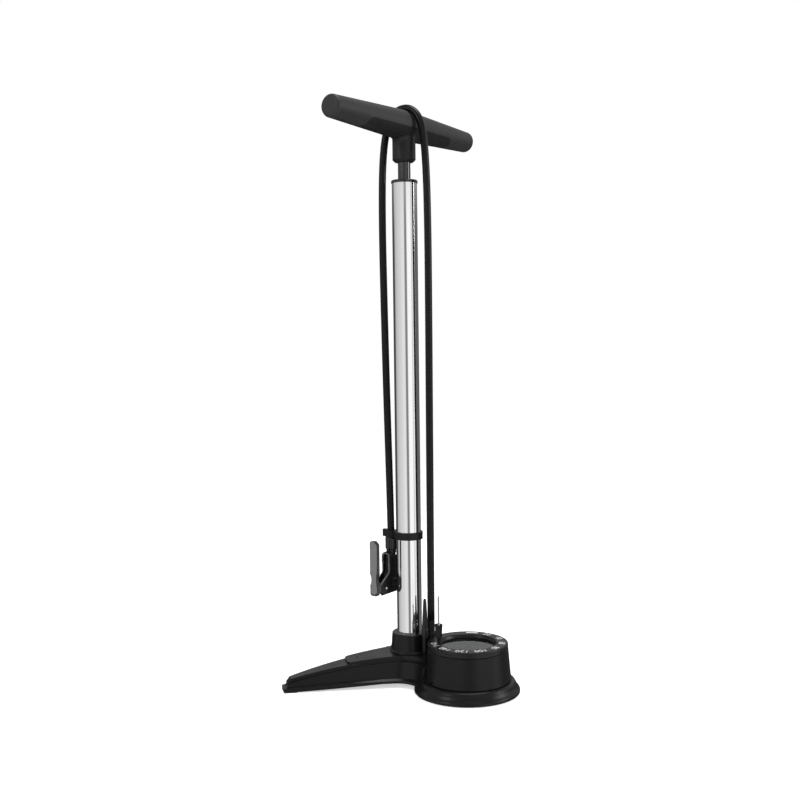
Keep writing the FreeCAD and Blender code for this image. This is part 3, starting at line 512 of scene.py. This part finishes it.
def tube(name: str, line: np.ndarray, radius: np.ndarray, around: int) -> bpy.types.Object:
    """Carry a circle along a line.

    At each point p with tangent t, the ring is p + r (cos v * n + sin v * b). The side vector b is the X
    axis with its part along t taken away, and n = b x t, which holds for a line that never runs along X.
    The ends are closed by a last ring of radius nearly 0.

    Args:
        name: the piece's name.
        line: the centre line, an array of m by 3.
        radius: the radius at each of its points.
        around: how many points a ring has.

    Returns:
        The new object, with a UV map in metres along and turns around.
    """
    tangent = np.gradient(line, axis=0)
    tangent /= np.linalg.norm(tangent, axis=1, keepdims=True)
    side = np.array([1.0, 0.0, 0.0]) - tangent * tangent[:, :1]
    side /= np.linalg.norm(side, axis=1, keepdims=True)
    normal = np.cross(side, tangent)
    turn = np.arange(around) * (2 * math.pi / around)
    rows = (line[:, None, :] + radius[:, None, None] * (np.cos(turn)[None, :, None] * normal[:, None, :]
                                                        + np.sin(turn)[None, :, None] * side[:, None, :]))
    first = line[0] + (rows[:1] - line[0]) * END_SHRINK
    last = line[-1] + (rows[-1:] - line[-1]) * END_SHRINK
    rows = np.concatenate([first, rows, last])
    steps = np.linalg.norm(np.diff(line, axis=0), axis=1)
    reach = np.concatenate([[0.0], [0.0], np.cumsum(steps), [steps.sum()]])
    along, across = np.meshgrid(np.arange(len(rows) - 1), np.arange(around), indexing="ij")
    along, across = along.ravel(), across.ravel()
    ahead = (across + 1) % around
    faces = np.stack([along * around + across, (along + 1) * around + across,
                      (along + 1) * around + ahead, along * around + ahead], axis=1)
    u = np.stack([reach[along], reach[along + 1], reach[along + 1], reach[along]], axis=1)
    v = np.stack([across, across, across + 1, across + 1], axis=1) / around
    ends = np.stack([np.arange(around)[::-1], (len(rows) - 1) * around + np.arange(around)])
    piece = as_piece(name, rows.reshape(-1, 3), faces, True, np.stack([u, v], axis=2).reshape(-1, 2))
    close_ends(piece, ends)
    return piece


def close_ends(piece: bpy.types.Object, loops: np.ndarray) -> None:
    """Fill closed loops with faces and turn every face outwards, keeping the mesh's UV map.

    Args:
        piece: the piece whose mesh is changed.
        loops: one row of vertex numbers for each face to add; it may be empty.
    """
    sheet = bmesh.new()
    sheet.from_mesh(piece.data)
    sheet.verts.ensure_lookup_table()
    for loop in loops.tolist():
        sheet.faces.new([sheet.verts[index] for index in loop]).smooth = True
    bmesh.ops.recalc_face_normals(sheet, faces=sheet.faces[:])
    sheet.to_mesh(piece.data)
    sheet.free()


def plate_arc(inner: float, outer: float, start: float, end: float, low: float, high: float,
              steps: int) -> tuple[np.ndarray, np.ndarray]:
    """A flat slab that follows an arc round the Z axis.

    Its points are r (cos a, sin a) at z, for r in inner and outer, a from start to end, z in low and high.

    Args:
        inner: the inner radius.
        outer: the outer radius.
        start: where the arc starts, in degrees from +X.
        end: where it ends.
        low: the underside's height.
        high: the top's height.
        steps: how many pieces the arc is cut into.

    Returns:
        Its vertices and its four-cornered faces.
    """
    angle = np.radians(np.linspace(start, end, steps + 1))
    corners = [(inner, low), (outer, low), (outer, high), (inner, high)]
    rings = [np.stack([r * np.cos(angle), r * np.sin(angle), np.full_like(angle, z)], axis=1)
             for r, z in corners]
    vertices = np.stack(rings, axis=1).reshape(-1, 3)
    at = np.arange(steps)[:, None] * 4
    side = np.arange(4)[None, :]
    after = (side + 1) % 4
    walls = np.stack([at + side, at + 4 + side, at + 4 + after, at + after], axis=2).reshape(-1, 4)
    first = np.array([[0, 1, 2, 3]])
    last = np.array([[3, 2, 1, 0]]) + steps * 4
    return vertices, np.concatenate([walls[:, ::-1], first[:, ::-1], last[:, ::-1]])


def lettering(text: str, height: float, width: float, thickness: float) -> tuple[np.ndarray, np.ndarray]:
    """A short figure as a thin slab, centred on the origin and upright along +Y.

    Args:
        text: the figure.
        height: how tall its digits are.
        width: how wide one digit is, with its gap.
        thickness: how thick the slab is.

    Returns:
        Its vertices and its triangles.
    """
    curve = bpy.data.curves.new("figure", "FONT")
    curve.body = text
    curve.size = 1.0
    curve.extrude = 0.5
    curve.align_x = "CENTER"
    curve.resolution_u = 3
    holder = bpy.data.objects.new("figure", curve)
    mesh = bpy.data.meshes.new_from_object(holder)
    mesh.calc_loop_triangles()
    points = np.empty(len(mesh.vertices) * 3)
    mesh.vertices.foreach_get("co", points)
    points = points.reshape(-1, 3)
    faces = np.empty(len(mesh.loop_triangles) * 3, dtype=int)
    mesh.loop_triangles.foreach_get("vertices", faces)
    bpy.data.objects.remove(holder)
    bpy.data.meshes.remove(mesh)
    low, high = points.min(0), points.max(0)
    points = (points - (low + high) / 2) / (high - low)
    return points * np.array([width * len(text), height, thickness]), faces.reshape(-1, 3)


def placed(part: tuple[np.ndarray, np.ndarray], angle: float, radius: float, centre: np.ndarray,
           ) -> tuple[np.ndarray, np.ndarray]:
    """Put a part on a circle with its +Y side outwards.

    Args:
        part: vertices and faces round the origin.
        angle: its place on the circle, in degrees from +X.
        radius: the circle's radius.
        centre: the circle's centre.

    Returns:
        The same part, in place.
    """
    turn = math.radians(angle - 90.0)
    spin = np.array([[math.cos(turn), -math.sin(turn), 0], [math.sin(turn), math.cos(turn), 0], [0, 0, 1]])
    out = np.array([math.cos(math.radians(angle)), math.sin(math.radians(angle)), 0.0]) * radius
    return part[0] @ spin.T + out + centre, part[1]


def joined(parts: list[tuple[np.ndarray, np.ndarray]]) -> tuple[np.ndarray, np.ndarray]:
    """Join several parts whose faces have one size.

    Args:
        parts: pairs of vertices and faces.

    Returns:
        The vertices and faces of all of them.
    """
    starts = np.cumsum([0] + [len(vertices) for vertices, _ in parts[:-1]])
    return (np.concatenate([vertices for vertices, _ in parts]),
            np.concatenate([faces + start for (_, faces), start in zip(parts, starts)]))


# ---------------------------------------------------------------- the pump's sub-assemblies


@dataclass
class SubAssembly:
    """A group of pieces that belong together, with the finish of each of its CAD nodes."""

    shop: PaintShop
    finishes: ClassVar[dict[str, Finish]] = {}

    def build(self) -> None:
        """Add the pieces that the frame doesn't hold; most groups have none."""

    def dress(self) -> None:
        """Put the finish of each CAD node on it."""
        for node, finish in self.finishes.items():
            self.shop.paint(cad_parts[node], finish)
            LOG.info("%s: %s", node, finish.name)

    def add(self, piece: bpy.types.Object, finish: Finish, body: str, slot: str) -> bpy.types.Object:
        """Finish a new piece and let it ride on a body.

        Args:
            piece: the new piece.
            finish: what it is made of.
            body: the body that it moves with.
            slot: the record's material slot; not used.

        Returns:
            The piece.
        """
        self.shop.paint(piece, finish)
        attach(piece, body)
        LOG.info("%s on %s: %s", piece.name, body, finish.name)
        return piece


@dataclass
class Base(SubAssembly):
    """The two legs, the cover over them, the foot under the gauge and the air block inside."""

    finishes: ClassVar[dict[str, Finish]] = {
        "base_shell": BASE_PLASTIC, "base_cover": COVER_PLASTIC, "cover_screws": SCREW_STEEL,
        "skirt_foot_ring": BLACK_RUBBER, "foot_cover": BASE_PLASTIC, "air_manifold": CAST_ALLOY,
        "drum_screws": SCREW_STEEL, "foot_left": BLACK_RUBBER, "foot_right": BLACK_RUBBER,
    }


@dataclass
class Barrel(SubAssembly):
    """The tube with its cap, its foot and the check valve."""

    finishes: ClassVar[dict[str, Finish]] = {
        "barrel_tube": BARREL_ALUMINIUM, "foot_plug": CAST_ALLOY, "foot_oring": BLACK_RUBBER,
        "valve_seat": BLACK_RUBBER, "valve_disc": BRASS, "valve_spring": SPRING_STEEL,
        "barrel_cap": GLOSS_BLACK, "cap_bush": GUIDE_PLASTIC, "rod_wiper": BLACK_RUBBER,
        "cap_bumper": BLACK_RUBBER,
    }


@dataclass
class Plunge(SubAssembly):
    """Everything that the hands push: the piston, its rod and the handle."""

    finishes: ClassVar[dict[str, Finish]] = {
        "piston_head": PISTON_ALUMINIUM, "piston_cup": BLACK_RUBBER, "piston_washer": SCREW_STEEL,
        "piston_bolt": SCREW_STEEL, "piston_rod": ROD_ENAMEL, "handle_core": CORE_PLASTIC,
        "handle_grip": GRIP_PLASTIC, "grip_screws": SCREW_STEEL, "rod_screw": SCREW_STEEL,
    }


@dataclass
class Gauge(SubAssembly):
    """The pressure gauge: its drum, its ring with figures, its dial and its works."""

    figure_step: int = 20
    figure_last: int = 160
    zero_at: float = 26.0
    degrees_per_step: float = 31.0
    figure_height: float = 7.4 * MM
    digit_width: float = 4.5 * MM
    figure_radius: float = 40.1 * MM
    ink: float = 0.06 * MM
    mark_start: float = 13.0
    mark_end: float = 33.0
    mark_half: float = 2.0 * MM
    tick_outer: float = 31.2 * MM
    minor_ticks: int = 4
    major_tick: tuple[float, float] = (4.2 * MM, 0.9)
    minor_tick: tuple[float, float] = (2.4 * MM, 0.4)
    arc_width: float = 0.5 * MM
    small_last: int = 11
    small_step: float = 22.5
    small_height: float = 3.4 * MM
    small_width: float = 2.1 * MM
    small_radius: float = 23.6 * MM

    finishes: ClassVar[dict[str, Finish]] = {
        "gauge_housing": DRUM_PLASTIC, "gauge_bezel": BEZEL_PLASTIC, "gauge_lens": GAUGE_WINDOW,
        "lens_gasket": BLACK_RUBBER, "dial_spacer": BEZEL_PLASTIC, "gauge_dial": DIAL_PAINT,
        "gauge_stem": BRASS, "bourdon_tube": BRASS, "movement_plate": BRASS, "movement_posts": BRASS,
        "sector_gear": BRASS, "pointer_arbor": SCREW_STEEL, "gauge_pointer": POINTER_ENAMEL,
    }

    def centre(self, node: str) -> np.ndarray:
        """The middle of a node's top face, where its ink goes.

        Args:
            node: the CAD node.

        Returns:
            The point, half the ink's thickness above the face.
        """
        low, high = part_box(node)
        return np.array([(low.x + high.x) / 2, (low.y + high.y) / 2, high.z + self.ink / 2])

    def angle(self, value: float) -> float:
        """Where a pressure stands on the ring; the scale runs clockwise.

        Args:
            value: the pressure.

        Returns:
            Its angle, in degrees from +X.
        """
        return self.zero_at - self.degrees_per_step * value / self.figure_step

    def ring_figures(self) -> bpy.types.Object:
        """The white figures on the ring.

        Returns:
            The new piece.
        """
        top = self.centre("gauge_bezel")
        parts = [placed(lettering(str(value), self.figure_height, self.digit_width, self.ink),
                        self.angle(value), self.figure_radius, top)
                 for value in range(self.figure_step, self.figure_last + 1, self.figure_step)]
        return as_piece("ring_figures", *joined(parts), smooth=False)

    def ring_mark(self) -> bpy.types.Object:
        """The white block on the ring that shows where the scale begins.

        Returns:
            The new piece.
        """
        vertices, faces = plate_arc(self.figure_radius - self.mark_half, self.figure_radius + self.mark_half,
                                    self.mark_start, self.mark_end, -self.ink / 2, self.ink / 2, 12)
        return as_piece("ring_mark", vertices + self.centre("gauge_bezel"), faces, smooth=False)

    def dial_scale(self) -> bpy.types.Object:
        """The ticks and the thin arc near the dial's edge.

        Returns:
            The new piece.
        """
        count = self.figure_last // self.figure_step * self.minor_ticks
        parts = []
        for index in range(count + 1):
            at = self.angle(index * self.figure_step / self.minor_ticks)
            length, half = self.minor_tick if index % self.minor_ticks else self.major_tick
            parts.append(plate_arc(self.tick_outer - length, self.tick_outer, at - half, at + half,
                                   -self.ink / 2, self.ink / 2, 1))
        parts.append(plate_arc(self.tick_outer, self.tick_outer + self.arc_width,
                               self.angle(self.figure_last), self.angle(0), -self.ink / 2, self.ink / 2, 72))
        vertices, faces = joined(parts)
        return as_piece("dial_scale", vertices + self.centre("gauge_dial"), faces, smooth=False)

    def dial_figures(self) -> bpy.types.Object:
        """The small figures of the inner scale.

        Returns:
            The new piece.
        """
        top = self.centre("gauge_dial")
        parts = [placed(lettering(str(value), self.small_height, self.small_width, self.ink),
                        self.zero_at - self.small_step * value, self.small_radius, top)
                 for value in range(1, self.small_last + 1)]
        return as_piece("dial_figures", *joined(parts), smooth=False)

    def build(self) -> None:
        """Print the ring and the dial."""
        self.add(self.ring_figures(), WHITE_INK, "base", "white_print")
        self.add(self.ring_mark(), WHITE_INK, "base", "white_print")
        self.add(self.dial_scale(), GREY_INK, "base", "white_print")
        self.add(self.dial_figures(), GREY_INK, "base", "white_print")


@dataclass
class Hose(SubAssembly):
    """The rubber hose: from the base up one side, over the handle and down to the pump head."""

    radius: float = 4.35 * MM
    length: float = 1.145
    around: int = 36
    steps: int = 14
    bend_start: float = 0.20
    bend_end: float = 0.60
    route: tuple[tuple[float, float, float], ...] = (
        (0.0045, -0.0280, 0.0760),
        (0.0045, -0.0282, 0.1900),
        (0.0041, -0.0289, 0.3150),
        (0.0035, -0.0299, 0.4400),
        (0.0029, -0.0304, 0.5500),
        (0.0024, -0.0289, 0.6250),
        (0.0022, -0.0238, 0.6665),
        (0.0020, -0.0104, 0.6838),
        (0.0016, 0.0102, 0.6840),
        (0.0012, 0.0244, 0.6676),
        (0.0009, 0.0316, 0.6280),
        (0.0007, 0.0332, 0.5550),
        (0.0005, 0.0316, 0.4450),
        (0.0003, 0.0292, 0.3300),
        (0.0001, 0.0266, 0.2350),
        (0.0000, 0.0255, 0.1750),
    )

    finishes: ClassVar[dict[str, Finish]] = {
        "hose": HOSE_RUBBER, "hose_fitting": BRASS, "base_ferrule": CUFF_RUBBER, "hose_clip": CLIP_PLASTIC,
    }

    def centre_line(self) -> np.ndarray:
        """The smooth line of the route, read from a NURBS spline with the route as its control points.

        Returns:
            Points along the line, an array of n by 3.
        """
        curve = bpy.data.curves.new("hose_route", "CURVE")
        curve.dimensions = "3D"
        curve.resolution_u = self.steps
        spline = curve.splines.new("NURBS")
        spline.points.add(len(self.route) - 1)
        spline.points.foreach_set("co", np.array([(*point, 1.0) for point in self.route]).ravel())
        spline.order_u = 3
        spline.use_endpoint_u = True
        holder = bpy.data.objects.new("hose_route", curve)
        mesh = bpy.data.meshes.new_from_object(holder)
        points = np.empty(len(mesh.vertices) * 3)
        mesh.vertices.foreach_get("co", points)
        bpy.data.objects.remove(holder)
        bpy.data.meshes.remove(mesh)
        return points.reshape(-1, 3)

    def build(self) -> None:
        line = self.centre_line()
        hose = tube("pump_hose", line, np.full(len(line), self.radius), self.around)
        self.shop.paint(hose, HOSE_RUBBER)
        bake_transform(hose)
        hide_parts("hose")
        LOG.info("pump_hose: %d points along", len(line))


@dataclass
class PumpHead(SubAssembly):
    """The head that grips the tyre's valve, with its lever's grey facing and the raised rim round its slot,
    coloured light grey as a painted highlight.
    """

    middle: float = 25.5 * MM
    face_out: float = 0.35 * MM
    face_sunk: float = 0.1 * MM
    face_half: float = 5.0 * MM
    face_shift: float = 0.4 * MM
    face_bevel: float = 0.3 * MM
    face_low: float = 108.5 * MM
    face_high: float = 171.8 * MM
    waist_at: float = 126.0 * MM
    waist_in: float = 1.6 * MM
    waist_half: float = 9.0 * MM
    foot_rise: float = 4.0 * MM
    foot_least: float = 0.01
    corner: float = 4.0 * MM
    corner_far: float = 0.3
    foot_rows: int = 9
    side_rows: int = 40
    corner_rows: int = 4
    bead: float = 0.65 * MM
    bead_half: float = 4.6 * MM
    bead_arc: int = 19
    bead_around: int = 12
    slot_edge: tuple[tuple[float, float], ...] = (
        (-12.1, 149.6), (-12.1, 141.0), (-12.1, 133.0), (-12.8, 130.8), (-18.5, 127.0), (-24.5, 123.2),
        (-29.6, 119.9), (-31.1, 117.9), (-31.6, 113.0), (-31.8, 110.4),
    )

    finishes: ClassVar[dict[str, Finish]] = {
        "head_body": HEAD_PLASTIC, "head_nose": GLOSS_BLACK, "head_grommet": BLACK_RUBBER,
        "plunger": GUIDE_PLASTIC, "head_collar": GLOSS_BLACK, "head_barb": CUFF_RUBBER,
        "lever": LEVER_BLACK, "lever_pin": BRIGHT_STEEL,
    }

    def lever_facing(self) -> bpy.types.Object:
        """The thin grey facing on the lever's outer side.

        Its half width at height z is face_half, less a smooth hump of waist_in about waist_at, and it closes
        along a quarter ellipse over foot_rise at the foot and along a slant over corner at the top.

        Returns:
            The new piece.
        """
        low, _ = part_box("lever")
        foot_top, slant_foot = self.face_low + self.foot_rise, self.face_high - self.corner
        height = np.concatenate([self.face_low + self.foot_rise * np.linspace(0.0, 1.0, self.foot_rows) ** 2,
                                 np.linspace(foot_top, slant_foot, self.side_rows)[1:],
                                 np.linspace(slant_foot, self.face_high, self.corner_rows)[1:]])
        hump = np.exp(-((height - self.waist_at) / self.waist_half) ** 2)
        half = self.face_half - self.waist_in * hump
        rise = np.clip((height - self.face_low) / self.foot_rise, 0.0, 1.0)
        round_foot = np.sqrt(np.maximum(1.0 - (1.0 - rise) ** 2, self.foot_least))
        slant = np.clip((height - slant_foot) / self.corner, 0.0, 1.0)
        near = -half * round_foot + slant * self.corner
        away = half * round_foot - slant ** 2 * self.corner * self.corner_far
        columns = [(near, -self.face_sunk), (near + self.face_bevel, self.face_out),
                   (away - self.face_bevel, self.face_out), (away, -self.face_sunk)]
        middle = self.middle + self.face_shift
        rows = np.stack([np.stack([np.full_like(height, low.x - out), middle + side, height], axis=1)
                         for side, out in columns], axis=1)
        vertices = rows.reshape(-1, 3)
        at = np.arange(len(height) - 1)[:, None] * 4
        side = np.arange(4)[None, :]
        after = (side + 1) % 4
        walls = np.stack([at + side, at + after, at + 4 + after, at + 4 + side], axis=2).reshape(-1, 4)
        last = (len(height) - 1) * 4
        ends = np.array([[3, 2, 1, 0], [last, last + 1, last + 2, last + 3]])
        piece = as_piece("lever_facing", vertices, np.concatenate([walls, ends]), smooth=False)
        close_ends(piece, np.empty((0, len(columns)), dtype=int))
        return piece

    def slot_bead(self) -> bpy.types.Object:
        """The raised rim round the head's slot, whose light grey is a painted highlight: a tube along the
        slot's edge on the head's outer face.

        It runs up one side along slot_edge, over the top on a half circle of radius bead_half, and down the
        other side.

        Returns:
            The new piece.
        """
        steps = np.linspace(0.0, math.pi, self.bead_arc)
        front, rise = np.array(self.slot_edge).T * MM
        down = np.stack([front, np.full(len(front), self.middle - self.bead_half), rise], axis=1)
        arch = np.stack([np.full(self.bead_arc, front[0]), self.middle - self.bead_half * np.cos(steps),
                         rise[0] + self.bead_half * np.sin(steps)], axis=1)
        up = down[::-1] * np.array([1.0, -1.0, 1.0]) + np.array([0.0, 2 * self.middle, 0.0])
        line = np.concatenate([down[::-1], arch[1:-1], up[::-1]])
        return tube("slot_bead", line, np.full(len(line), self.bead), self.bead_around)

    def build(self) -> None:
        """Add the lever's facing, and the raised rim round the slot with its painted highlight."""
        self.add(self.lever_facing(), LEVER_GREY, "lever", "lever_grey")
        # The slot rim is head plastic; its light grey finish is a painted highlight.
        self.add(self.slot_bead(), SLOT_RIM_HIGHLIGHT, "base", "head_plastic")


@dataclass
class Accessories(SubAssembly):
    """The ball needle and the tapered nozzle, stored on the base."""

    finishes: ClassVar[dict[str, Finish]] = {
        "needle_holder": CLIP_PLASTIC, "ball_needle": NEEDLE_STEEL, "nozzle_post": BASE_PLASTIC,
        "cone_nozzle": NOZZLE_PLASTIC,
    }


# ---------------------------------------------------------------- studio


@dataclass(frozen=True)
class Lamp:
    """A round soft lamp that points at the object."""

    name: str
    place: tuple[float, float, float]
    size: float
    power: float

    def hang(self, target: Vector) -> None:
        """Add the lamp to the scene.

        Args:
            target: the point that it is aimed at.
        """
        data = bpy.data.lights.new(self.name, "AREA")
        data.shape = "DISK"
        data.size = self.size
        data.energy = self.power
        lamp = bpy.data.objects.new(self.name, data)
        lamp.location = self.place
        lamp.rotation_euler = (target - lamp.location).to_track_quat("-Z", "Y").to_euler()
        bpy.context.collection.objects.link(lamp)


@dataclass
class Studio:
    """A pale floor that fades out, a soft surround with bright and dark strips, and the camera."""

    floor_radius: float = 2.6
    floor_solid: float = 0.9
    dome_low: float = 0.10
    dome_full: float = 0.22
    dome_level: float = 0.62
    dome_top: float = 0.45
    camera_place: tuple[float, float, float] = (-1.09019, -0.72395, 0.41496)
    azimuth: float = -56.05
    pitch: float = 3.292
    roll: float = -0.710
    lens: float = 49.33
    sensor: float = 36.0
    floor_sides: int = 96
    floor_drop: float = 0.0003
    floor_clear: float = 0.95
    aim: tuple[float, float, float] = (0.0, 0.0, 0.25)
    lamps: tuple[Lamp, ...] = (
        Lamp("top_lamp", (0.1, -0.3, 2.4), 1.4, 30.0),
        Lamp("left_lamp", (-1.7, 0.6, 1.3), 0.5, 5.0),
        Lamp("right_lamp", (0.9, -1.9, 0.9), 0.9, 11.0),
    )
    strips: tuple[tuple[float, float], ...] = (
        (-180, 0.06), (-118, 0.07), (-106, 0.50), (-60, 0.66), (-20, 0.80), (-12, 0.75), (-4, 0.22),
        (8, 0.22), (18, 1.0), (50, 1.0), (57, 0.62), (63, 0.62), (68, 1.0), (86, 1.0), (100, 0.10),
        (125, 0.13), (180, 0.06),
    )

    def camera(self) -> None:
        """Stand the camera: azimuth is round the object, pitch is downwards and roll is in the picture."""
        turn, tilt, roll = (math.radians(v) for v in (self.azimuth, self.pitch, self.roll))
        back = Vector((math.sin(turn), -math.cos(turn), 0.0))
        up = Vector((0.0, 0.0, 1.0))
        ahead = -back * math.cos(tilt) - up * math.sin(tilt)
        level = Vector((math.cos(turn), math.sin(turn), 0.0))
        rise = up * math.cos(tilt) - back * math.sin(tilt)
        across = level * math.cos(roll) + rise * math.sin(roll)
        upright = rise * math.cos(roll) - level * math.sin(roll)
        data = bpy.data.cameras.new("camera")
        data.lens = self.lens
        data.sensor_width = self.sensor
        data.clip_start = 0.05
        camera = bpy.data.objects.new("camera", data)
        camera.matrix_world = Matrix.Translation(self.camera_place) @ Matrix(
            (across, upright, -ahead)).transposed().to_4x4()
        bpy.context.collection.objects.link(camera)
        bpy.context.scene.camera = camera

    def floor(self) -> None:
        """A disc with a matt pale surface that turns clear from floor_solid outwards."""
        sides = self.floor_sides
        index = np.arange(sides)
        angle = index * (2 * math.pi / sides)
        rim = np.stack([np.cos(angle), np.sin(angle), np.zeros(sides)], axis=1) * self.floor_radius
        vertices = np.concatenate([rim, [[0.0, 0.0, 0.0]]]) - np.array([0.0, 0.0, self.floor_drop])
        faces = np.stack([index, (index + 1) % sides, np.full(sides, sides)], axis=1)
        disc = as_piece("studio_floor", vertices, faces, smooth=False)
        recipe = Recipe("studio_floor")
        recipe.fix(Base_Color=(0.92, 0.92, 0.92, 1.0), Roughness=0.9, Specular_IOR_Level=0.1,
                   Emission_Color=(1.0, 1.0, 1.0, 1.0), Emission_Strength=0.55)
        distance = recipe.nodes.new("ShaderNodeVectorMath")
        distance.operation = "LENGTH"
        recipe.links.new(recipe.places.outputs["Object"], distance.inputs[0])
        recipe.drive("Alpha", recipe.spread(distance.outputs["Value"], 1.0, 0.0, self.floor_solid,
                                            self.floor_radius * self.floor_clear))
        disc.data.materials.append(recipe.material)
        disc.visible_glossy = False

    def surround(self) -> None:
        """The world: white behind everything, and strips of light and shade for the object to mirror."""
        world = bpy.data.worlds.new("surround")
        world.use_nodes = True
        bpy.context.scene.world = world
        nodes, links = world.node_tree.nodes, world.node_tree.links
        nodes.clear()
        output = nodes.new("ShaderNodeOutputWorld")
        mix = nodes.new("ShaderNodeMixShader")
        path = nodes.new("ShaderNodeLightPath")
        seen = nodes.new("ShaderNodeBackground")
        lit = nodes.new("ShaderNodeBackground")
        seen.inputs["Color"].default_value = (1.0, 1.0, 1.0, 1.0)
        seen.inputs["Strength"].default_value = 1.0
        links.new(path.outputs["Is Camera Ray"], mix.inputs[0])
        links.new(lit.outputs[0], mix.inputs[1])
        links.new(seen.outputs[0], mix.inputs[2])
        links.new(mix.outputs[0], output.inputs["Surface"])
        places = nodes.new("ShaderNodeTexCoord")
        turned = nodes.new("ShaderNodeMapping")
        turned.vector_type = "POINT"
        turned.inputs["Rotation"].default_value = (0.0, 0.0, math.radians(90.0 - self.azimuth))
        links.new(places.outputs["Generated"], turned.inputs["Vector"])
        parts = nodes.new("ShaderNodeSeparateXYZ")
        links.new(turned.outputs[0], parts.inputs[0])
        heading = nodes.new("ShaderNodeMath")
        heading.operation = "ARCTAN2"
        links.new(parts.outputs["Y"], heading.inputs[0])
        links.new(parts.outputs["X"], heading.inputs[1])
        strips = nodes.new("ShaderNodeValToRGB")
        strips.color_ramp.interpolation = "EASE"
        self.set_strips(strips.color_ramp)
        links.new(self.band(world, heading.outputs[0], -math.pi, math.pi), strips.inputs[0])
        rise = self.band(world, parts.outputs["Z"], self.dome_low, self.dome_full)
        fall = self.band(world, parts.outputs["Z"], self.dome_full, 1.0, 1.0, self.dome_top)
        dome = nodes.new("ShaderNodeMix")
        dome.data_type = "RGBA"
        links.new(rise, dome.inputs["Factor"])
        links.new(strips.outputs["Color"], dome.inputs["A"])
        dome.inputs["B"].default_value = (self.dome_level, self.dome_level, self.dome_level, 1.0)
        links.new(dome.outputs["Result"], lit.inputs["Color"])
        links.new(fall, lit.inputs["Strength"])

    @staticmethod
    def band(world: bpy.types.World, value: Socket, start: float, end: float, low: float = 0.0,
             high: float = 1.0) -> Socket:
        """Map a value from one range to another in the world's nodes.

        Args:
            world: the world whose nodes are added to.
            value: what is mapped.
            start: where the first range begins.
            end: where it ends.
            low: the result at start.
            high: the result at end.

        Returns:
            The mapped value.
        """
        span = world.node_tree.nodes.new("ShaderNodeMapRange")
        span.inputs["From Min"].default_value = start
        span.inputs["From Max"].default_value = end
        span.inputs["To Min"].default_value = low
        span.inputs["To Max"].default_value = high
        world.node_tree.links.new(value, span.inputs["Value"])
        return span.outputs[0]

    def set_strips(self, ramp: bpy.types.ColorRamp) -> None:
        """Set the surround's brightness by heading: 0 degrees is behind the camera, positive to its right.

        Args:
            ramp: the colour ramp to fill, over headings from -180 to 180 degrees.
        """
        while len(ramp.elements) < len(self.strips):
            ramp.elements.new(0.5)
        for element, (heading, level) in zip(ramp.elements, self.strips):
            element.position = (heading + 180) / 360
            element.color = (level, level, level, 1.0)

    def build(self) -> None:
        """Set up everything round the object."""
        bpy.context.scene.view_settings.view_transform = "Standard"
        self.camera()
        self.floor()
        self.surround()
        for lamp in self.lamps:
            lamp.hang(Vector(self.aim))


def main() -> None:
    """Build every sub-assembly in order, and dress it."""
    logging.basicConfig(level=logging.INFO, format="%(name)s %(message)s")
    shop = PaintShop()
    Studio().build()
    for group in (Hose, Base, Barrel, Plunge, Gauge, PumpHead, Accessories):
        made = group(shop)
        made.dress()
        made.build()


if __name__ == "__main__":
    main()
